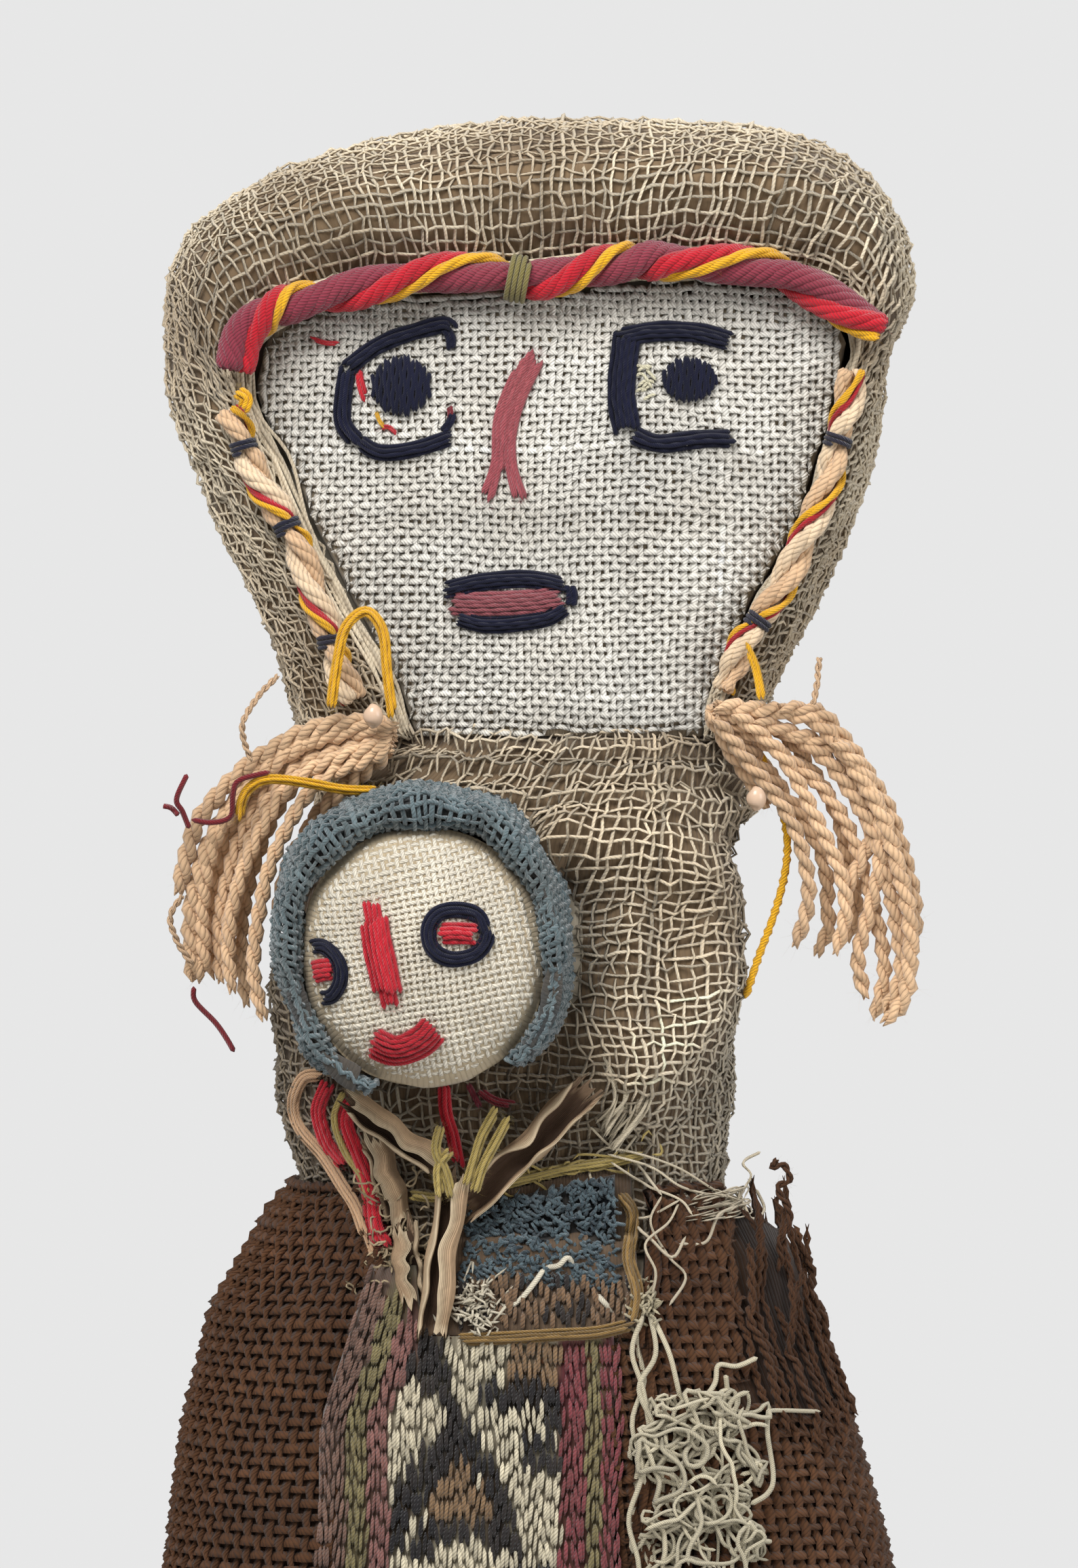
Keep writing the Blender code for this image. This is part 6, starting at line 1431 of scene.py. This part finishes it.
under_strip = base_between("under_patch_ground", "figured_cloth",
                           picture((640, 1962), (740, 1964), (850, 1962), (938, 1950)),
                           picture((650, 1760), (750, 1752), (850, 1730), (930, 1722)), shade(92, 74, 58),
                           under_depth, 0.5)
gx, gz = np.meshgrid(np.arange(-7.6, 13.2, 0.62), np.arange(141.6, 149.0, 0.8), indexing="ij")
under_grid = np.stack([gx + draw.normal(0, 0.06, gx.shape), under_depth(gx, gz) - 0.1, gz], -1)
band_tint = np.where((slow_noise(gx, gz, 7, 354) > 0.35)[..., None], BLACK, shade(118, 92, 68)) * draw.uniform(
    0.8, 1.2, gx.shape)[..., None]
float_stitches(under_grid, band_tint, np.ones(gx.shape, bool), 0.34, 355)
under_floats = skeins.piece("under_patch_floats", panel_thread, "figured_cloth")
for route, seed in ((picture((912, 1758), (932, 1790), (926, 1850), (938, 1900), (932, 1944)), 361),
                    (picture((936, 1946), (880, 1958), (810, 1962), (740, 1966), (676, 1968)), 362)):
    sewn(route, 1.7, 4, OCHRE, cloth_front, 1.7, 0.8, seed, 44, 0.2)
skeins.piece("ochre_border_yarn", wool, "ochre_wool", "ochre_border")

# Loose cream threads: the tangle of worn-out warps beside the panel, the torn gauze round the right
# arm and the threads that hang from it, and the ends on the chest.
cream_thread = fibre_material("Cream thread", plies=2.0, twist=1.0, dust=0.14, dust_colour=(150, 132, 104))


def stray(places, radius, tint, depth, lift, seed, count=28, sides=5):
    """One loose thread along places in the picture, lying on the cloth with a wave of its own."""
    draw = np.random.default_rng(seed)
    flat = flow(picture(*places), count)
    rise = lift * (0.6 + 0.4 * np.sin(np.linspace(0, 5, count) + seed))
    skeins.tubes(laid(flat, depth, rise), radius, tint * draw.uniform(0.85, 1.1), sides)


draw = np.random.default_rng(371)
for number in range(92):
    px0 = np.array([draw.normal(1034, 46), draw.uniform(2044, 2400)])
    heading = draw.uniform(0, 2 * math.pi)
    turn = draw.normal(0, 0.25)
    places = [px0]
    for _ in range(int(draw.integers(9, 17))):
        turn = 0.7 * turn + draw.normal(0, 0.40)
        heading += turn
        step = px0 + 17 * np.array([math.cos(heading), math.sin(heading)])
        left_side, right_side = 940 + 14 * math.sin(step[1] / 23), 1118 + 16 * math.sin(step[1] / 17)
        if not (left_side < step[0] < right_side and 2044 < step[1] < 2410):
            heading += 2.2
            step = px0 + 17 * np.array([math.cos(heading), math.sin(heading)])
        px0 = np.array([np.clip(step[0], 926, 1136), np.clip(step[1], 2024, 2424)])
        places.append(px0)
    stray(places, draw.uniform(0.22, 0.36), CREAM * draw.uniform(0.75, 1.1), tunic_front,
          draw.uniform(1.2, 4.0), 372 + number, 33, 4)
for number, places in enumerate((
        ((951, 1926), (938, 1975), (948, 2030), (930, 2090), (945, 2160), (925, 2230), (940, 2300), (930, 2380)),
        ((955, 1926), (965, 1990), (940, 2040), (962, 2100), (940, 2150), (930, 2240)),
        ((948, 1930), (930, 1985), (946, 2040), (958, 2110), (975, 2180), (960, 2260), (972, 2340)),
        ((1012, 2074), (1040, 2052), (1053, 2034), (1058, 2010), (1085, 2012), (1116, 2000)),
        ((1068, 2023), (1072, 2060), (1076, 2105)),
        ((1132, 2074), (1130, 2110), (1138, 2171), (1130, 2196), (1104, 2212)),
        ((1104, 2212), (1080, 2240), (1110, 2262), (1136, 2268)),
        ((960, 1935), (985, 1990), (1000, 2050), (1012, 2080)))):
    stray(places, 0.34, CREAM, tunic_front, 2.2, 470 + number, 36)
skeins.piece("cream_tangle", cream_thread, "white_cloth", "white_tangle")

gauze_cream = shade(224, 210, 182)
for number in range(30):
    share = number / 29
    start = (880 + 60 * share + draw.normal(0, 5), 1560 - 45 * share + draw.normal(0, 5))
    middle_place = (905 + 60 * share + draw.normal(0, 4), 1610 + 6 * share + draw.normal(0, 4))
    end = (885 + 20 * share + draw.normal(0, 5), 1655 + 45 * share + draw.normal(0, 6))
    stray((start, middle_place, end), draw.uniform(0.15, 0.26), gauze_cream, trunk_front,
          2.4 + 1.0 * math.sin(share * 9), 500 + number, 18, 4)
for number, places in enumerate((
        ((890, 1690), (940, 1700), (1000, 1722), (1060, 1760), (1098, 1778)),
        ((895, 1700), (960, 1720), (1010, 1752), (1090, 1772)),
        ((900, 1712), (950, 1745), (1002, 1768), (1020, 1790)), ((870, 1660), (900, 1690), (935, 1712), (975, 1760)),
        ((1002, 1768), (960, 1790), (935, 1800), (960, 1825), (990, 1850), (1010, 1820)),
        ((1002, 1768), (985, 1800), (950, 1830), (965, 1870), (960, 1905)),
        ((1090, 1770), (1110, 1740), (1098, 1720), (1125, 1705)),
        ((1098, 1778), (1060, 1790), (1040, 1830), (1000, 1832)),
        ((1098, 1778), (1110, 1800), (1130, 1790), (1118, 1760)),
        ((975, 1760), (958, 1800), (985, 1850), (1010, 1880), (985, 1920)),
        ((900, 1690), (880, 1700), (870, 1735), (905, 1760)))):
    stray(places, 0.2, gauze_cream, cloth_front, 2.6, 540 + number, 30, 4)
for number in range(46):
    x0, y0 = draw.uniform(1012, 1080), draw.uniform(1758, 1800)
    stray(((1098 - draw.uniform(0, 10), 1772), (x0 + 30, y0 - 6), (x0 + draw.normal(0, 8), y0)), 0.13, gauze_cream,
          cloth_front, draw.uniform(1.8, 3.2), 560 + number, 10, 3)
skeins.piece("torn_gauze_threads", cream_thread, "gauze")

for number, places in enumerate((((716, 1906), (747, 1921), (767, 1911), (788, 1886), (803, 1865)),
                                 ((803, 1865), (822, 1862), (836, 1850), (845, 1862)),
                                 ((880, 1905), (892, 1918), (905, 1936)))):
    stray(places, 0.36, shade(230, 222, 200), patch_depth, 1.7, 620 + number, 20)
for count, left, wide, down, high, near, far, radius, tint, depth, lift, seed in (
        (90, 700, 17, 1922, 18, 9, 13, 0.17, shade(226, 216, 192), under_depth, 2.2, 630),
        (60, 946, 9, 1918, 14, 8, 10, 0.2, shade(196, 184, 152), cloth_front, 2.6, 730)):
    for number in range(count):
        x0, y0 = draw.normal(left, wide), draw.normal(down, high)
        wisp = [(x0, y0)] + [(x0 + draw.normal(0, away), y0 + draw.normal(0, away)) for away in (near, far)]
        stray(wisp, radius, tint, depth, draw.uniform(0.8, lift), seed + number, 7, 4)
skeins.piece("chest_cream_threads", cream_thread, "cream_cloth")

# Shoulder thread: one kinked brown warp that has come loose from the worn right shoulder of the
# tunic and stands up beside it.
kinks = flow(picture((1148, 1712), (1140, 1724), (1158, 1722), (1166, 1744), (1150, 1752), (1152, 1766), (1166, 1790),
                     (1163, 1815), (1150, 1836), (1154, 1860), (1146, 1880)), 60)
kinked = laid(kinks, at_depth(depth_of("shoulder_thread")))
plied_yarn(kinked, 0.46, 3.0, BROWN * 0.95, 6)
fuzz_along(kinked, 0.5, 120, 0.9, BROWN_LIGHT, 791)
skeins.piece("shoulder_kinked_thread", tunic_material, "brown_cloth", "shoulder_thread")

# Stray yarns on the tassels and rolls: yellow and dark red ends that were tied in with the peach
# yarn, two thin peach loops, and two drops of old glue.


def tassel_depth(x, z):
    return np.interp(z, [178, 200, 216, 222], [-15.5, -17.5, -23.5, -21.0])


sewn(picture((489, 1050), (500, 970), (513, 925), (541, 903), (564, 929), (571, 985), (580, 1060)), 1.4, 3,
     YELLOW, at_depth(-22.4), 0.2, 0.3, 801, 60)
sewn(picture((560, 1166), (506, 1164), (457, 1155), (399, 1149), (372, 1160), (358, 1182), (354, 1212)), 1.3, 3,
     YELLOW, tassel_depth, 0.3, 0.3, 802, 60)
sewn(picture((1096, 949), (1112, 985), (1122, 1040)), 1.2, 2, YELLOW, tassel_depth, 0.2, 0.2, 803, 14)
sewn(picture((345, 578), (364, 590), (356, 612)), 1.7, 3, YELLOW, at_depth(-20.0), 0.2, 0.3, 804, 14)
skeins.piece("loose_yellow_yarns", wool, "yellow_yarn")
dark_red = shade(124, 28, 36)
for number, places in enumerate((((400, 1138), (354, 1151), (345, 1173), (341, 1204), (314, 1213), (283, 1209)),
                                 ((278, 1142), (262, 1178), (270, 1196), (280, 1222)),
                                 ((242, 1189), (254, 1192), (264, 1202)),
                                 ((285, 1455), (287, 1477), (316, 1508), (332, 1530), (345, 1552)))):
    stray(places, 0.36, dark_red, tassel_depth, 0.8, 810 + number, 30)
skeins.piece("loose_red_yarns", red_wool, "red_yarn")
for number, places in enumerate((((412, 996), (381, 1030), (361, 1066), (363, 1097), (374, 1124)),
                                 ((269, 1320), (251, 1352), (260, 1387), (284, 1425)),
                                 ((1206, 970), (1203, 1005), (1196, 1040)))):
    plied_yarn(laid(flow(picture(*places), 40), tassel_depth), 0.42, 2.4, PEACH * 0.9, 5)
skeins.piece("loose_peach_loops", peach_wool, "peach_yarn")
glue = bpy.data.materials.new("Old glue")
glue.use_nodes = True
glue_surface = glue.node_tree.nodes["Principled BSDF"]
glue_surface.inputs["Roughness"].default_value = 0.25
glue_tint = glue.node_tree.nodes.new("ShaderNodeVertexColor")
glue_tint.layer_name = "tint"
glue.node_tree.links.new(glue_tint.outputs["Color"], glue_surface.inputs["Base Color"])
for place, size in (((1110, 1178), 1.2), ((548, 1057), 1.2)):
    x, z = picture(place)[0]
    t = np.linspace(0, math.pi, 12)
    depth = tassel_depth(x, z) - 0.6
    beads = np.column_stack([x + 0.3 * np.sin(t), depth - 0.2 * np.sin(t * 2), z + size * 1.1 * np.cos(t)])
    skeins.tubes(beads, np.sin(t) * size + 0.05, shade(206, 176, 150), 12)
skeins.piece("glue_drops", glue, "peach_yarn")

# Stuffing: cotton wadding in the head, the trunk and the small head. The cloths over it hide it,
# apart from what shows below the neck.
cotton = fibre_material("Cotton wadding", plies=3.0, twist=0.2, depth=0.0004, dust=0.3, dust_colour=(176, 160, 132),
                        spots=30.0, plain=shade(226, 216, 196))
for name, fill in (("head_pad", 0.8), ("trunk_stuffing", 0.7), ("baby_head_pad", 0.8)):
    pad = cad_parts[name]
    pad.data.materials.clear()
    pad.data.materials.append(cotton)

# Floor and light: a pale table under the doll and a plain pale room, with a broad lamp above the
# front, a weaker one at the right and one behind.
FLOOR_RADIUS, FLOOR_DROP = 0.42, 0.0005
floor_mesh = bpy.data.meshes.new("floor")
floor_mesh.from_pydata([(FLOOR_RADIUS * math.cos(turn), FLOOR_RADIUS * math.sin(turn), -FLOOR_DROP)
                        for turn in np.linspace(0, 2 * math.pi, 64, endpoint=False)], [], [tuple(range(64))])
floor = bpy.data.objects.new("floor", floor_mesh)
bpy.context.collection.objects.link(floor)
table = bpy.data.materials.new("Pale table")
table.use_nodes = True
table.node_tree.nodes["Principled BSDF"].inputs["Base Color"].default_value = (0.50, 0.50, 0.495, 1)
table.node_tree.nodes["Principled BSDF"].inputs["Roughness"].default_value = 0.9
floor_mesh.materials.append(table)
floor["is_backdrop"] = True

world = bpy.data.worlds.new("room")
scene.world = world
world.use_nodes = True
tree = world.node_tree
room = tree.nodes["Background"]
room.inputs["Color"].default_value = (1.0, 1.0, 1.0, 1)
room.inputs["Strength"].default_value = 0.42
backdrop = shader(tree, "Background", {"Color": (0.80, 0.80, 0.80, 1), "Strength": 1.0})
seen = shader(tree, "LightPath", {}).outputs["Is Camera Ray"]
mix = shader(tree, "MixShader", {0: seen, 1: room.outputs[0], 2: backdrop.outputs[0]})
tree.links.new(mix.outputs[0], tree.nodes["World Output"].inputs["Surface"])
AIM = np.array([0.0, 0.0, 0.2])
for name, place, size, power in (("above", (-0.25, -0.65, 0.85), 0.5, 11.0),
                                 ("right", (0.7, -0.45, 0.35), 0.5, 3.0),
                                 ("behind", (0.1, 0.8, 0.7), 0.6, 6.0)):
    lamp = bpy.data.lights.new(name, "AREA")
    lamp.energy = power
    lamp.size = size
    stand = bpy.data.objects.new(name, lamp)
    stand.location = place
    stand.rotation_euler = Vector(AIM - np.array(place)).to_track_quat("-Z", "Y").to_euler()
    bpy.context.collection.objects.link(stand)

low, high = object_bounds()
